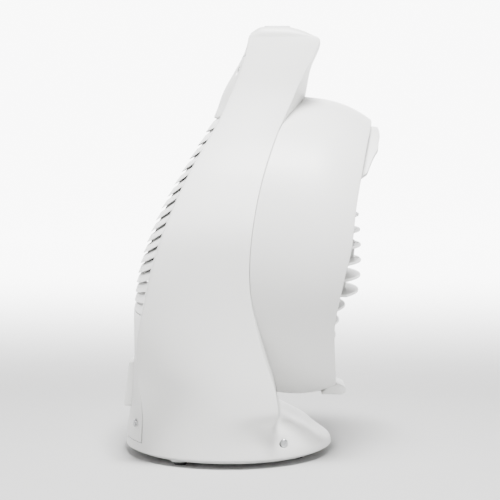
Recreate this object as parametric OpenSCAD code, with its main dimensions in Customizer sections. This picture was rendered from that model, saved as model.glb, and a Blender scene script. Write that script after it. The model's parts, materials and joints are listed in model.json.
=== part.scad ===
// Upright fan heater. Millimetres. +X is the way the air blows, +Z is up.
// The origin is on the floor, under the middle of the whole outline.

/* [Body] */
// Height of the shell's rim round the controls above the floor
body_h = 314; // [306:1:324]
// Width of the shell at the height of the outlet's axis
body_w = 221; // [218:1:230]
// Width of the shell at its top
neck_w = 94; // [92:1:100]
// Width of the foot
foot_w = 210; // [202:1:216]
// How far the foot reaches in front of the origin
foot_front = 58.5; // [52:0.5:64]
// Height of the shell's lower rim above the floor
rim_h = 6.5; // [6:0.1:8]
// Thickness of the moulded walls
wall = 2.8; // [2.4:0.1:3.2]

/* [Outlet] */
// Height of the point where the barrel's axis leaves the shell
axis_h = 154; // [152:0.5:156]
// How far that point lies in front of the origin
axis_x = 29.5; // [28:0.5:31]
// Downward tilt of the barrel's axis in degrees
tilt = 7; // [6:0.5:8]
// Outer radius of the barrel at the shell
barrel_r = 111; // [110.5:0.5:112]
// Outer radius of the barrel at its mouth
mouth_r = 99.5; // [98:0.5:101]
// Length of the barrel in front of the shell
barrel_l = 47.6; // [46:0.2:50]
// Outer radius of the front ring
ring_r = 92; // [91:0.5:93]
// How far the visor reaches in front of the origin
visor_x = 95.5; // [93:0.5:98]
// Height from one grille fin to the next
fin_pitch = 11.2; // [10.8:0.1:12]
// Thickness of a grille fin
fin_t = 1.8; // [1.4:0.1:2.4]
// Depth of a grille fin from front to back
fin_depth = 12; // [9:0.5:13]
// Radius of the cap in the middle of the grille
cap_r = 9.5; // [8:0.5:12]
// Distance from one guard hoop to the next
guard_pitch = 9; // [7:0.5:10]
// Thickness of the guard's wire
guard_t = 1.8; // [1.4:0.1:2.2]
// Width of the tab under the chin
tab_w = 46; // [30:1:60]

/* [Rear cover] */
// Height from one louvre to the next
louvre_pitch = 8.25; // [7.75:0.25:9.5]
// Height of the slot between two louvres
louvre_slot = 2; // [1.6:0.1:2.6]
// How far each louvre steps out over the next
louvre_step = 1.1; // [0.6:0.1:1.6]
// Height at which the louvres start
louvre_low = 101; // [96:1:106]
// Height at which the louvres end
louvre_high = 249; // [246:1:252]
// Width of the cord inlet's cover
inlet_w = 44; // [36:1:52]
// Height of the cord inlet's cover
inlet_h = 33; // [28:1:38]
// Radius of the hole that the cord would pass through
cord_r = 3.6; // [3:0.1:4.2]

/* [Heater] */
// Number of ceramic heating strips
strip_n = 4; // [3:1:5]
// Height of a heating strip
strip_h = 16; // [12:0.5:18]
// Length of a heating strip
strip_l = 118; // [108:1:124]
// Depth of a heating strip along the air
strip_d = 14; // [10:0.5:15]

/* [Fan and motor] */
// Radius of the fan
fan_r = 86; // [82:0.5:87]
// Radius of the fan's hub
hub_r = 19; // [17:0.5:22]
// Length of the fan's hub
hub_l = 20; // [18:0.5:22]
// Number of fan blades
blade_n = 5; // [4:1:7]
// Gap between the fan's tips and its duct
tip_gap = 2.5; // [2:0.1:3.5]
// Radius of the motor's shaft
shaft_r = 2; // [1.6:0.1:2.5]
// Width of the motor's stator
stator_w = 52; // [50:1:54]
// Length of the motor's stator
stator_l = 16; // [14:0.5:18]
// Radius of the rotor
rotor_r = 13; // [12:0.5:14]

/* [Controls] */
// Radius of a control knob
knob_r = 11; // [9:0.5:12]
// Height of a control knob
knob_h = 12; // [9:0.5:14]
// Distance between the two knobs' axes
knob_gap = 42; // [38:1:46]
// Depth of the recess that the knobs stand in
recess_d = 10.5; // [8:0.5:12]
// Radius of the knobs' shafts
spindle_r = 3; // [2.5:0.1:3.5]
// Width of a switch body under a knob
switch_w = 24; // [20:1:26]
// Height of a switch body under a knob
switch_h = 18; // [14:1:22]
// Radius of the pilot lamp
lamp_r = 2.5; // [2:0.1:3.5]

/* [Base] */
// Thickness of the base plate
base_t = 3; // [2.5:0.1:3.5]
// How far the base plate lies inside the shell's lower rim
base_inset = 6; // [5:0.5:8]
// Radius of a rubber foot
pad_r = 5; // [4:0.5:6]
// Height of a rubber foot
pad_h = 2.5; // [2:0.1:3]
// Radius of the tip-over plunger
plunger_r = 4; // [3:0.5:5]
// Travel of the tip-over plunger
plunger_travel = 4; // [3:0.5:5]
// Thickness of the steel ballast plate
ballast_t = 5; // [4:0.5:6]

/* [Fits] */
// Gap between moulded pieces at a seam
seam = 0.3; // [0.2:0.05:0.4]
// Running clearance round a shaft
run = 0.05; // [0.03:0.01:0.08]
// Thread radius of the small screws
screw_r = 1.6; // [1.4:0.1:1.8]

/* [Hidden] */
// How far a cutting tool runs past what it cuts, and the length of one that goes right through
past = 1;
through = 200;
white = "#eeeeec";
grey = "#c9c9c6";
dark = "#3a3a3c";
$fn = 72;

// Heights as shares of the stretch below the barrel's axis, and of the stretch above it
function low(f) = f * axis_h;
function up(f) = axis_h + f * (body_h - axis_h);

// Smooth curve through points [height, value], with the slope at each point taken from its neighbours
function span(p, z, i = 0) = (i >= len(p) - 2 || z <= p[i + 1][0]) ? i : span(p, z, i + 1);
function rise(p, a, b) = (p[b][1] - p[a][1]) / (p[b][0] - p[a][0]);
function slope(p, i) = rise(p, max(i - 1, 0), min(i + 1, len(p) - 1));
function curve(p, z) =
    let (
        i = span(p, z),
        h = p[i + 1][0] - p[i][0],
        t = min(max((z - p[i][0]) / h, 0), 1),
        a = 2 * pow(t, 3) - 3 * pow(t, 2) + 1,
        b = pow(t, 3) - 2 * pow(t, 2) + t,
        c = pow(t, 3) - pow(t, 2)
    )
    a * p[i][1] + b * h * slope(p, i) + (1 - a) * p[i + 1][1] + c * h * slope(p, i + 1);
function smooth(a, b, z) = let (t = min(max((z - a) / (b - a), 0), 1)) t * t * (3 - 2 * t);
function mix(a, b, t) = a + (b - a) * t;

// The shell's outline: half width, then how far each line lies in front of the origin
side_y = [
    [low(0), foot_w / 2], [low(0.34), foot_w / 2 + 2], [low(0.66), body_w / 2 - 2], [low(1), body_w / 2],
    [up(0.115), body_w / 2 - 3], [up(0.305), body_w / 2 - 17], [up(0.49), neck_w / 2 + 29.5],
    [up(0.69), neck_w / 2 + 15], [up(0.865), neck_w / 2 + 7], [up(0.97), neck_w / 2 + 2],
    [up(1), neck_w / 2 - 1]
];
back_x = [
    [low(0.04), -94.8], [low(0.15), -93.2], [low(0.3), -90], [low(0.5), -87.9], [low(0.7), -88.3],
    [low(0.86), -85.7], [low(1), -79.8], [up(0.14), -70.6], [up(0.29), -58], [up(0.56), -31.8],
    [up(0.62), -27.3], [up(0.72), -21.3], [up(0.86), -8.8], [up(0.92), -4.6], [up(1), -2]
];
seam_x = [
    [low(0), -80], [low(0.3), -82], [low(0.58), -81], [low(0.78), -74.8], [low(1), -65.8],
    [up(0.22), -52.7], [up(0.4), -39], [up(0.57), -23.8], [up(0.76), -10.4], [up(0.86), -5.4],
    [up(0.92), -3.8], [up(1), -1.5]
];
// How far the seam of the rear cover lies in from the shell's side
seam_in = [[low(0), 34], [low(0.3), 26], [low(0.58), 10], [low(0.78), 4], [low(1), 2.5], [up(1), 2]];
edge_x = [
    [low(0.14), 18], [low(0.33), 16.6], [low(0.55), 6.2], [low(0.78), -1.6], [low(0.97), -2.2],
    [up(0.14), 0.8], [up(0.31), 6.5], [up(0.49), 15.8], [up(0.64), 26.5], [up(0.75), 34.3],
    [up(0.92), 48], [up(0.945), 48.2], [up(0.97), 41.5], [up(1), 30]
];
front_x = [
    [low(0), foot_front], [low(0.06), foot_front], [low(0.1), foot_front - 4], [low(0.143), foot_front - 12],
    [low(0.17), foot_front - 22], [low(0.2), foot_front - 35.5], [low(0.27), 18.6], [low(0.34), 17],
    [low(0.55), 12], [low(0.78), 6], [low(1), 5], [up(0.14), 8], [up(0.31), 15], [up(0.49), 26],
    [up(0.64), 37], [up(0.7), 39.5], [up(0.82), 43.2], [up(0.925), 50], [up(0.95), 47.6],
    [up(0.975), 40.5], [up(1), 32]
];
wide_x = -17;
// Share of the crisp cornered plan over the rounded plan of the foot
function crisp(z) = smooth(low(0.07), low(0.46), z);
// How far the valley in the foot's top is drawn back, at a height and a distance from the middle
valley_d = 9;
valley_w = 34;
function valley(z, y) =
    valley_d * smooth(low(0.07), low(0.12), z) * (1 - smooth(low(0.16), low(0.22), z))
    * exp(-pow(y / valley_w, 2));
seam_angle = 35;
edge_angle = 58;

// A point of the plan at height z, set in by the wall w: t runs 0 to 1 along one of three stretches
function oval(z, a, w) =
    let (
        back = wide_x - curve(back_x, z) - w,
        front = curve(front_x, z) - w - wide_x,
        y = (curve(side_y, z) - w) * sin(a)
    )
    [wide_x + (a > 90 ? back : front) * cos(a), y];
function rear_point(z, t, w) =
    let (
        ys = curve(side_y, z) - curve(seam_in, z) - w,
        xb = curve(back_x, z) + w,
        c = [xb + (curve(seam_x, z) + w - xb) * t * t, ys * t]
    )
    mix(oval(z, 180 - seam_angle * t, w), c, crisp(z));
function side_point(z, t, w) =
    let (
        half = curve(side_y, z) - w,
        ys = half - curve(seam_in, z),
        ye = half - 1,
        bulge = half - (ys + ye) / 2,
        c = [mix(curve(seam_x, z), curve(edge_x, z) - w, t), mix(ys, ye, t) + 4 * bulge * t * (1 - t)]
    )
    mix(oval(z, mix(180 - seam_angle, edge_angle, t), w), c, crisp(z));
function front_point(z, t, w) =
    let (
        ye = (curve(side_y, z) - w - 1) * (1 - t),
        xe = curve(edge_x, z) - w,
        xc = curve(front_x, z) - w,
        c = [xc - (xc - xe) * pow(1 - t, 2), ye],
        p = mix(oval(z, edge_angle * (1 - t), w), c, crisp(z))
    )
    [p[0] - valley(z, p[1]), p[1]];

// Rings of the plan: the open ring runs from seam to seam round the front, the full ring goes all round
side_n = 6;
front_n = 7;
rear_n = 7;
function half_open(z, w) = concat(
    [for (i = [0 : side_n]) side_point(z, i / side_n, w)],
    [for (i = [1 : front_n]) front_point(z, i / front_n, w)]
);
function mirrored(p) = [for (i = [len(p) - 2 : -1 : 0]) [p[i][0], -p[i][1]]];
function open_ring(z, w) = let (h = half_open(z, w)) concat(h, mirrored(h));
function rear_half(z, w) = [for (i = [0 : rear_n]) rear_point(z, i / rear_n, w)];
function past_seam(h) = [for (i = [1 : len(h) - 1]) h[i]];
function half_full(z, w) = concat(rear_half(z, w), past_seam(half_open(z, w)));
function full_ring(z, w) =
    let (h = half_full(z, w), m = mirrored(h))
    concat(h, [for (i = [0 : len(m) - 2]) m[i]]);
// The room that the shell's inner posts may fill: into its walls, but clear of the rear cover
function post_ring(z) =
    let (
        h = concat(rear_half(z, wall + seam), past_seam(half_open(inside_z(z), wall / 2))),
        m = mirrored(h)
    )
    concat(h, [for (i = [0 : len(m) - 2]) m[i]]);
function at(ring, z) = [for (p = ring) [p[0], p[1], z]];

// Solid through closed rings of equal point counts, given from the lowest to the highest, each clockwise from
// above. A ring that is a line and its way back is closed by a strip, so that its ends may be bent.
module loft(rings, strip = false) {
    n = len(rings[0]);
    m = len(rings);
    top = (m - 1) * n;
    sides = [for (k = [0 : m - 2], i = [0 : n - 1], s = [0, 1])
        let (a = k * n + i, b = k * n + (i + 1) % n)
        s == 0 ? [a, b, a + n] : [b, b + n, a + n]];
    ends = strip
        ? [for (i = [0 : n / 2 - 2], s = [0 : 3])
            let (j = n - 1 - i)
            [
                [i + 1, i, j], [i + 1, j, j - 1],
                [top + i, top + i + 1, top + j], [top + i + 1, top + j - 1, top + j]
            ][s]]
        : [[for (i = [0 : n - 1]) n - 1 - i], [for (i = [0 : n - 1]) top + i]];
    polyhedron(points = [for (r = rings, p = r) p], faces = concat(sides, ends), convexity = 8);
}

// Frame on the barrel's axis: +Z along the air, +X downwards, s in front of the shell
module on_axis(s = 0) {
    translate([axis_x, 0, axis_h]) rotate([0, 90 + tilt, 0]) translate([0, 0, s]) children();
}
// Solid as wide as the whole part whose side view is the outline
module side_cut(outline, width = 300) {
    rotate([90, 0, 0]) translate([0, 0, -width / 2]) linear_extrude(height = width) polygon(outline);
}
module tube(r_out, r_in, length) {
    difference() {
        cylinder(r = r_out, h = length);
        translate([0, 0, -past]) cylinder(r = r_in, h = length + 2 * past);
    }
}
module on_circle(radius, count, first = 0) {
    for (i = [0 : count - 1]) rotate([0, 0, first + i * 360 / count]) translate([radius, 0, 0]) children();
}
driver_slot = 0.6;
// Pan-head screw along +Z, its head resting at z = 0
module screw(length) {
    difference() {
        union() {
            translate([0, 0, -head_h]) cylinder(r = head_r, h = head_h);
            cylinder(r = screw_r, h = length);
        }
        for (a = [0, 90]) rotate([0, 0, a]) translate([0, 0, -head_h])
            cube([head_r * 1.2, driver_slot, head_h], center = true);
    }
}

// The barrel's front edge in side view, and the line that its back lies along
rim_x = [
    [low(0.2), 65], [low(0.31), 62], [low(0.425), 60.2], [low(0.54), 58.6], [low(0.665), 58.4],
    [low(0.86), 64], [low(1), 69.2], [up(0.19), 73], [up(0.32), 77], [up(0.46), 82.2],
    [up(0.59), 89], [up(0.75), 97]
];
rim_heights = [for (z = [low(0.2) : 12 : up(0.75)]) z];
root_heights = [for (z = [low(0.15) : 9 : up(0.8)]) z];
function rim_line(offset) = [for (z = rim_heights) [curve(rim_x, z) + offset, z]];
function root_line(offset) = [for (z = root_heights) [curve(edge_x, z) + offset, z]];
function back_to_front(p) = [for (i = [len(p) - 1 : -1 : 0]) p[i]];
far_x = 130;
function ahead_of_root(offset) = concat(root_line(offset), [[far_x, up(0.8)], [far_x, low(0.15)]]);
function behind_rim(offset) = concat(rim_line(offset), [[-far_x, up(0.75)], [-far_x, low(0.2)]]);

// Places along the barrel's axis, all worked out from the shroud's flange
shelf_t = 3;
shelf_room = 20;
flange_t = 3;
flange_s = -6;
shelf_s = flange_s + flange_t;
flange_room = 6;
flange_r = barrel_r - flange_room;
shelf_w = 7;
shelf_r = flange_r - shelf_w;
duct_r = fan_r + tip_gap;
duct_t = 2.5;
duct_room = 1.6;
duct_room_r = duct_r + duct_t + duct_room;
duct_back = -50;
duct_end = 6;
mount_t = 3;
mount_s = duct_back - mount_t;
bracket_t = 2;
coil_t = 3.5;
coil_gap = 0.5;
air_gap = 0.4;
coil_r = rotor_r + 1.5;
coil_w = 6.5;
bracket_s = mount_s - bracket_t;
stator_s = bracket_s - coil_gap - coil_t - stator_l;
rear_bracket_s = stator_s - coil_t - coil_gap - bracket_t;
boss_r = 7;
boss_l = 5;
bush_l = 6;
bush_r = 4.6;
fan_s = mount_s + mount_t + 6;
clip_t = 3;
clip_w = 3.5;
guard_s = 27;
ring_s = 24;
lip_t = 2.5;
bolt_r = flange_r - shelf_w / 2;
bolt_n = 6;
bolt_turn = 30;
straight_l = 5.5;
function barrel_radius(s) =
    barrel_r - (barrel_r - mouth_r) * pow(max(s - straight_l, 0) / (barrel_l - straight_l), 2.2);

// Places of the controls
deck_h = body_h - recess_d;
deck_t = 2.5;
ledge_t = 3;
roof_h = deck_h - deck_t - ledge_t;
control_x = 18;
knob_lift = 0.6;

// Places in the base
plate_h = rim_h - base_t;
floor_h = rim_h;
post_h = [22, 14];
base_screw_l = 14;
foot_back = 26.5;
foot_in = [27, 59];
foot_x = [-52, foot_front - foot_back];
foot_y = [foot_w / 2 - foot_in[0], foot_w / 2 - foot_in[1]];
foot_places = [for (i = [0, 1], s = [-1, 1]) [foot_x[i], s * foot_y[i], post_h[i]]];
post_r = 4.5;
tip_x = -17;
thread_r = screw_r + 0.05;
through_r = screw_r + 0.2;
head_r = screw_r * 1.9;
head_h = screw_r * 1.1;
head_room = 0.4;
head_gap = 0.2;
head_n = 32;
cover_screw_l = 12;
cover_low_z = low(0.17);
cover_high_z = up(0.8);
cover_top = up(0.87);

// Heights of the shell's rings
shell_heights = concat(
    [rim_h],
    [for (i = [1 : 9]) mix(rim_h, low(0.22), i / 9)],
    [low(0.27), low(0.33), low(0.4)],
    [for (i = [1 : 5]) mix(low(0.4), low(1), i / 5)],
    [for (i = [1 : 8]) mix(low(1), cover_top, i / 8)]
);
cover_foot = shell_heights[2] + seam;
// Under the foot's top the inside is taken from a little higher, so that the sloping wall keeps its thickness
function inside_z(z) = z + 3.5 * (1 - smooth(low(0.2), low(0.35), z));
module shell_wall() {
    loft([for (z = shell_heights)
        concat(at(open_ring(z, 0), z), back_to_front(at(open_ring(inside_z(z), wall), z)))], strip = true);
}
// Line across the back in n steps, set in by in: t runs from t0 to t1, where -1 and 1 are the seams
function rear_line(z, t0, t1, in, n) = [
    for (i = [0 : n])
        let (t = mix(t0, t1, i / n), p = rear_point(z, abs(t), 0))
        [p[0] + in, t < 0 ? -p[1] : p[1], z]
];
function rear_band(z, t0, t1, in, thick, n) =
    concat(rear_line(z, t0, t1, in, n), back_to_front(rear_line(z, t0, t1, in + thick, n)));
neck_heights = [cover_top, up(0.9), up(0.925), up(0.945), up(0.96), up(0.975), up(0.99), body_h];
function rim_inset(z) = 3 * pow(smooth(up(0.955), body_h, z), 2);
module neck_solid() {
    loft([for (z = neck_heights) at(full_ring(z, rim_inset(z)), z)]);
}
// Upright block with the plan of the neck at the rim, set in by w
module neck_plan(w, z0, z1) {
    loft([for (z = [z0, z1]) at(full_ring(up(0.97), w), z)]);
}
recess_in = 5.2;
ledge_in = 9;
neck_room = 12;
neck_gap = 0.6;

// Screw post on the shell's inside: a round post hulled to a web that ends in the wall
web_t = 4;
web_end = 1;
hole_n = 24;
module wall_post(x, y, z0, z1, reach) {
    hull() {
        translate([x, y, z0]) cylinder(r = post_r, h = z1 - z0, $fn = hole_n);
        translate([x - web_t / 2, y + (y > 0 ? reach : -reach - web_end), z0])
            cube([web_t, web_end, z1 - z0]);
    }
}
cover_post_l = 14;
cover_web_t = 6;
module cover_post(x, y, z, reach) {
    hull() {
        translate([x, y, z]) rotate([0, 90, 0]) cylinder(r = post_r, h = cover_post_l, $fn = hole_n);
        translate([x, y + (y > 0 ? reach : -reach - web_end), z - cover_web_t / 2])
            cube([cover_post_l, web_end, cover_web_t]);
    }
}
foot_reach = 30;
high_reach = 20;
low_reach = 60;
high_in = 16;
low_in = 55;
high_y = curve(side_y, cover_high_z) - high_in;
low_y = foot_w / 2 - low_in;
// How far the inside of the back lies in front of the origin, at height z and distance y from the middle
function back_at(z, y) = rear_point(z, y / (curve(side_y, z) - curve(seam_in, z)), wall)[0];
high_x = back_at(cover_high_z, high_y);
low_x = back_at(cover_low_z, low_y);
cover_places = [
    [high_x + seam, high_y, cover_high_z], [high_x + seam, -high_y, cover_high_z],
    [low_x + seam, low_y, cover_low_z], [low_x + seam, -low_y, cover_low_z]
];
ear_out = 6.5;
ear_y = duct_r + ear_out;
ear_reach = 30;
ear_s = -42;
ear_t = 4;
ear_half = 17;
ear_gap = 24;
ear_block_t = 7;
ear_screw_y = ear_y + 5;
ear_end = 2.2;
dimple_back = 36.5;
dimple_up = 10;
dimple_x = foot_front - dimple_back;
dimple_z = rim_h + dimple_up;
dimple_d = 2;
dimple_post = 12;
dimple_web = 6;
dimple_y = side_at(dimple_x, dimple_z);
// Half width of the rounded plan at x and z
function side_at(x, z) = curve(side_y, z) * sqrt(1 - pow((x - wide_x) / (curve(front_x, z) - wide_x), 2));

module main_shell() {
    color(white) difference() {
        union() {
            shell_wall();
            loft([for (i = [0 : 2]) rear_band(shell_heights[i], -1, 1, 0, wall, 2 * rear_n)], strip = true);
            neck_solid();
            intersection() {
                union() {
                    for (p = foot_places) wall_post(p[0], p[1], floor_h, floor_h + p[2], foot_reach);
                    for (i = [0 : 3]) {
                        p = cover_places[i];
                        cover_post(p[0], p[1], p[2], i < 2 ? high_reach : low_reach);
                    }
                    for (s = [-1, 1]) hull() {
                        in_dimple(s) cylinder(r = post_r, h = dimple_post, $fn = hole_n);
                        translate([dimple_x - dimple_web / 2, s * (dimple_y - wall / 2) - web_end, dimple_z])
                            cube([dimple_web, 2 * web_end, dimple_post]);
                    }
                    on_axis(ear_s - seam - ear_block_t) for (s = [-1, 1])
                        translate([-ear_half, s > 0 ? ear_y - past : -ear_y + past - ear_reach, 0])
                            cube([2 * ear_half, ear_reach, ear_block_t]);
                }
                loft([for (z = concat(shell_heights, [roof_h])) at(post_ring(z), z)]);
            }
        }
        // the outlet, its duct and the recess for the controls
        intersection() {
            on_axis(-through / 2) cylinder(r = barrel_r + seam, h = through);
            side_cut(ahead_of_root(0));
        }
        on_axis(duct_back - duct_end) cylinder(r = duct_room_r, h = through);
        on_axis(flange_s - seam) cylinder(r = flange_r + seam, h = shelf_room);
        neck_plan(recess_in, deck_h - deck_t, body_h + past);
        neck_plan(ledge_in, cover_top - neck_room, body_h);
        // the neck's inside, up to the ledge
        loft([for (z = [cover_top - 2 * past, up(0.9), roof_h]) at(full_ring(z, wall + neck_gap), z)]);
        // screw holes, and room for the heads of the flange's screws
        for (p = foot_places) translate([p[0], p[1], 0])
            cylinder(r = thread_r, h = pad_h + head_seat + base_screw_l + past, $fn = hole_n);
        for (p = cover_places) translate([p[0] - wall, p[1], p[2]]) rotate([0, 90, 0])
            cylinder(r = thread_r, h = wall + cover_screw_l, $fn = hole_n);
        for (s = [-1, 1]) in_dimple(s) {
            translate([0, 0, -dimple_post])
                cylinder(r = head_r + head_gap, h = dimple_post + dimple_d, $fn = head_n);
            cylinder(r = thread_r, h = dimple_post, $fn = hole_n);
        }
        at_ear_screws(ear_s - seam - ear_block_t - past)
            cylinder(r = thread_r, h = ear_block_t + 2 * past, $fn = hole_n);
        flange_heads();
    }
}
module in_dimple(s) {
    translate([dimple_x, s * dimple_y, dimple_z]) rotate([s * 90, 0, 0]) children();
}
module at_ear_screws(along) {
    on_axis(along) for (s = [-1, 1], u = [-1, 1]) translate([u * ear_gap / 2, s * ear_screw_y, 0]) children();
}
module flange_heads() {
    on_axis(flange_s - head_h - head_room) on_circle(bolt_r, bolt_n, bolt_turn)
        cylinder(r = head_r + head_room, h = head_h + 2 * head_room, $fn = head_n);
}

// Share of the rear line that the cover takes, clear of the shell's side walls
function cover_reach(z) = 1 - (wall + seam) / (curve(side_y, z) - curve(seam_in, z));
module cover_patch(heights, t0, t1, n, in = 0, thick = wall) {
    loft([for (z = heights) let (k = cover_reach(z)) rear_band(z, t0 * k, t1 * k, in, thick, n)], strip = true);
}
stile_t = 0.955;
louvre_reach = 0.97;
rib_t = 0.024;
rib_deep = 3.2;
cover_n = 12;
// The shell's own ring heights between two heights, with both of them
function levels(z0, z1) = concat([z0], [for (z = shell_heights) if (z > z0 + 1 && z < z1 - 1) z], [z1]);
louvre_deep = 3.5;
louvre_lift = 2.5;
louvre_n = floor((louvre_high - louvre_low) / louvre_pitch);
louvre_first = louvre_high - louvre_n * louvre_pitch;
module louvre(z) {
    top = z + louvre_pitch - louvre_slot;
    low_k = louvre_reach * cover_reach(z);
    top_k = louvre_reach * cover_reach(top);
    function lifted(line) = [for (p = line) [p[0], p[1], p[2] + louvre_lift]];
    loft([
        concat(
            rear_line(z, -low_k, low_k, 0, cover_n),
            back_to_front(lifted(rear_line(z, -low_k, low_k, louvre_deep, cover_n)))
        ),
        concat(
            rear_line(top, -top_k, top_k, louvre_step, cover_n),
            back_to_front(lifted(rear_line(top, -top_k, top_k, louvre_step + louvre_deep, cover_n)))
        )
    ], strip = true);
}
inlet_z0 = 35;
head_sink = 1.2;
cover_hole = 20;
module rear_cover() {
    color(white) difference() {
        union() {
            cover_patch(levels(cover_foot, louvre_first - louvre_slot), -1, 1, cover_n);
            cover_patch(levels(louvre_high, cover_top - seam), -1, 1, cover_n);
            for (s = [-1, 1]) cover_patch(
                levels(louvre_first - louvre_slot - past, louvre_high + past),
                s < 0 ? -1 : stile_t, s < 0 ? -stile_t : 1, 1
            );
            for (i = [0 : louvre_n - 1]) louvre(louvre_first + i * louvre_pitch);
            for (t = [-0.5, 0, 0.5]) cover_patch(
                levels(louvre_first - louvre_slot - 2 * past, louvre_high + 2 * past),
                t - rib_t / 2, t + rib_t / 2, 1, wall, rib_deep
            );
        }
        // the window for the cord inlet and the screw holes
        translate([inlet_face - past, -inlet_w / 2 - seam, inlet_z0 - seam])
            cube([flange_x - inlet_face + 3 * past, inlet_w + 2 * seam, inlet_h + 2 * seam]);
        for (p = cover_places) translate([p[0] - cover_hole, p[1], p[2]]) rotate([0, 90, 0]) {
            cylinder(r = through_r, h = 2 * cover_hole, $fn = hole_n);
            cylinder(r = head_r + head_room, h = cover_hole - seam - head_sink, $fn = head_n);
        }
    }
}

// Wall of the barrel, grown by more on both sides
profile_n = 14;
module barrel_wall(more = 0) {
    bends = concat([-through / 3, 0], [for (i = [0 : profile_n]) mix(straight_l, barrel_l, i / profile_n)]);
    on_axis() rotate_extrude($fn = 120) polygon(concat(
        [for (s = bends) [barrel_radius(s) + more, s]],
        [for (s = back_to_front(bends)) [barrel_radius(s) - wall - more, s]]
    ));
}
module outlet_barrel() {
    color(white) difference() {
        intersection() {
            union() {
                barrel_wall();
                on_axis(shelf_s) tube(barrel_r - wall / 2, shelf_r, shelf_t);
                difference() {
                    intersection() {
                        on_axis(-through / 2) cylinder(r = barrel_r - wall / 2, h = through);
                        side_cut(concat(root_line(0), back_to_front(root_line(seam + wall))));
                    }
                    on_axis(-through / 2) cylinder(r = duct_room_r, h = through);
                    on_axis(flange_s - seam) cylinder(r = flange_r + seam, h = through / 2);
                    flange_heads();
                }
            }
            side_cut(ahead_of_root(seam));
            side_cut(behind_rim(0));
        }
        on_axis(shelf_s - past) on_circle(bolt_r, bolt_n, bolt_turn)
            cylinder(r = thread_r, h = shelf_t + 2 * past);
    }
}

// Side view of all that may fill the front ring, set back by in from the barrel's front edge
visor_low = 208.5;
function ring_region(in) = concat(
    [for (p = rim_line(-1.2 - in)) if (p[1] < visor_low - 5) p],
    [
        [visor_x - 12.5 - in, visor_low], [visor_x - in, visor_low + 14.7], [visor_x - in, visor_low + 23.7],
        [visor_x - 2.3 - in, visor_low + 29.7], [visor_x - 6 - in, up(0.8)], [-20, up(0.8)], [-20, low(0.2)]
    ]
);
ring_t = 3.5;
lip_in = 8;
ring_seat = 1;
// The tab hangs from the ring's lowest stretch, its front ahead of the barrel's edge
tab_drop = 15.5;
tab_low = axis_h - ring_r * cos(tilt) - (ring_s + 6) * sin(tilt) - tab_drop;
tab_x = curve(rim_x, low(0.36));
module front_ring() {
    color(white) union() {
        intersection() {
            union() {
                on_axis(ring_s) tube(ring_r, ring_r - ring_t, through / 3);
                on_axis(ring_s) tube(ring_r + ring_seat, ring_r - lip_in, lip_t);
                on_axis(ring_s) tube(barrel_radius(ring_s + lip_t) - wall - seam, ring_r - ring_seat, lip_t);
            }
            side_cut(ring_region(0));
        }
        difference() {
            side_cut([
                [tab_x - 10.5, tab_low], [tab_x + 7.5, tab_low], [tab_x + 12, tab_low + 4.5],
                [tab_x + 10, tab_low + 14], [tab_x - 4, tab_low + 16], [tab_x - 4, tab_low + 8]
            ], tab_w);
            intersection() {
                barrel_wall(seam);
                side_cut(behind_rim(seam));
            }
            on_axis(ring_s - lip_t) cylinder(r = ring_r - ring_t, h = through / 2);
        }
    }
}

// The grille: fins in level planes, their front edges on a shallow dome
grille_z = 143.5;
fin_bow = 284;
grille_gap = 0.3;
grille_r = ring_r - ring_t - grille_gap;
dome_x = [
    [50, 60], [85, 62], [106, 67], [112, 71], [121, 79], [133, 80.6], [147, 81], [170, 80],
    [193, 77.4], [215, 74], [240, 70]
];
cap_s = 40;
cap_l = 7.2;
cap_edge = 1.5;
boss_depth = 6;
guard_top = ring_s + lip_t + guard_t;
grille_t = 2.2;
grille_l = 14;
grille_back = 2;
bar_r = grille_r - grille_t / 2;
// How far above the axis a point in side view lies, across the barrel
function across(x, z) = (x - axis_x) * sin(tilt) + (z - axis_h) * cos(tilt);
// Plane of the guard's front, at height z
function guard_x(z) = axis_x + (guard_top + (z - axis_h) * sin(tilt)) / cos(tilt);
function bow(r, y) = r - sqrt(r * r - y * y);
// Half length of a level bar that ends in the grille's ring
function bar_half(x, z) = sqrt(max(bar_r * bar_r - pow(abs(across(x, z)) + fin_t / 2, 2), 1));
fin_steps = 16;
strut_d = 6;
// The first and the last fin are the last that meet the grille's ring
grille_middle = axis_h - (guard_top + strut_d) * sin(tilt);
fin_low = -floor((grille_z - grille_middle + bar_r * cos(tilt)) / fin_pitch);
fin_high = floor((grille_middle + bar_r * cos(tilt) - grille_z) / fin_pitch);
module grille_fin(z) {
    front = curve(dome_x, z);
    rough = bar_half(front - fin_depth / 2, z);
    half = bar_half(front - fin_depth / 2 - bow(fin_bow, rough), z);
    back = guard_x(z + fin_t);
    inner_bow = fin_bow - fin_depth;
    ys = [for (i = [0 : fin_steps]) mix(-half, half, i / fin_steps)];
    translate([0, 0, z - fin_t / 2]) linear_extrude(height = fin_t) polygon(concat(
        [for (y = ys) [front - bow(fin_bow, y), y]],
        [for (y = back_to_front(ys)) [max(front - fin_depth - bow(inner_bow, y), back), y]]
    ));
}
strut_y = 44;
strut_t = 2;
strut_n = 12;
module grille_strut(y) {
    reach = sqrt(bar_r * bar_r - pow(abs(y) + strut_t / 2, 2)) * cos(tilt);
    heights = [for (i = [0 : strut_n]) mix(grille_middle - reach, grille_middle + reach, i / strut_n)];
    function back(z) = max(curve(dome_x, z) - fin_depth - bow(fin_bow, y) - strut_d / 3, guard_x(z + fin_t));
    translate([0, y, 0]) side_cut(concat(
        [for (z = heights) [back(z) + strut_d * 2 / 3, z]],
        [for (z = back_to_front(heights)) [back(z), z]]
    ), strut_t);
}
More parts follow.
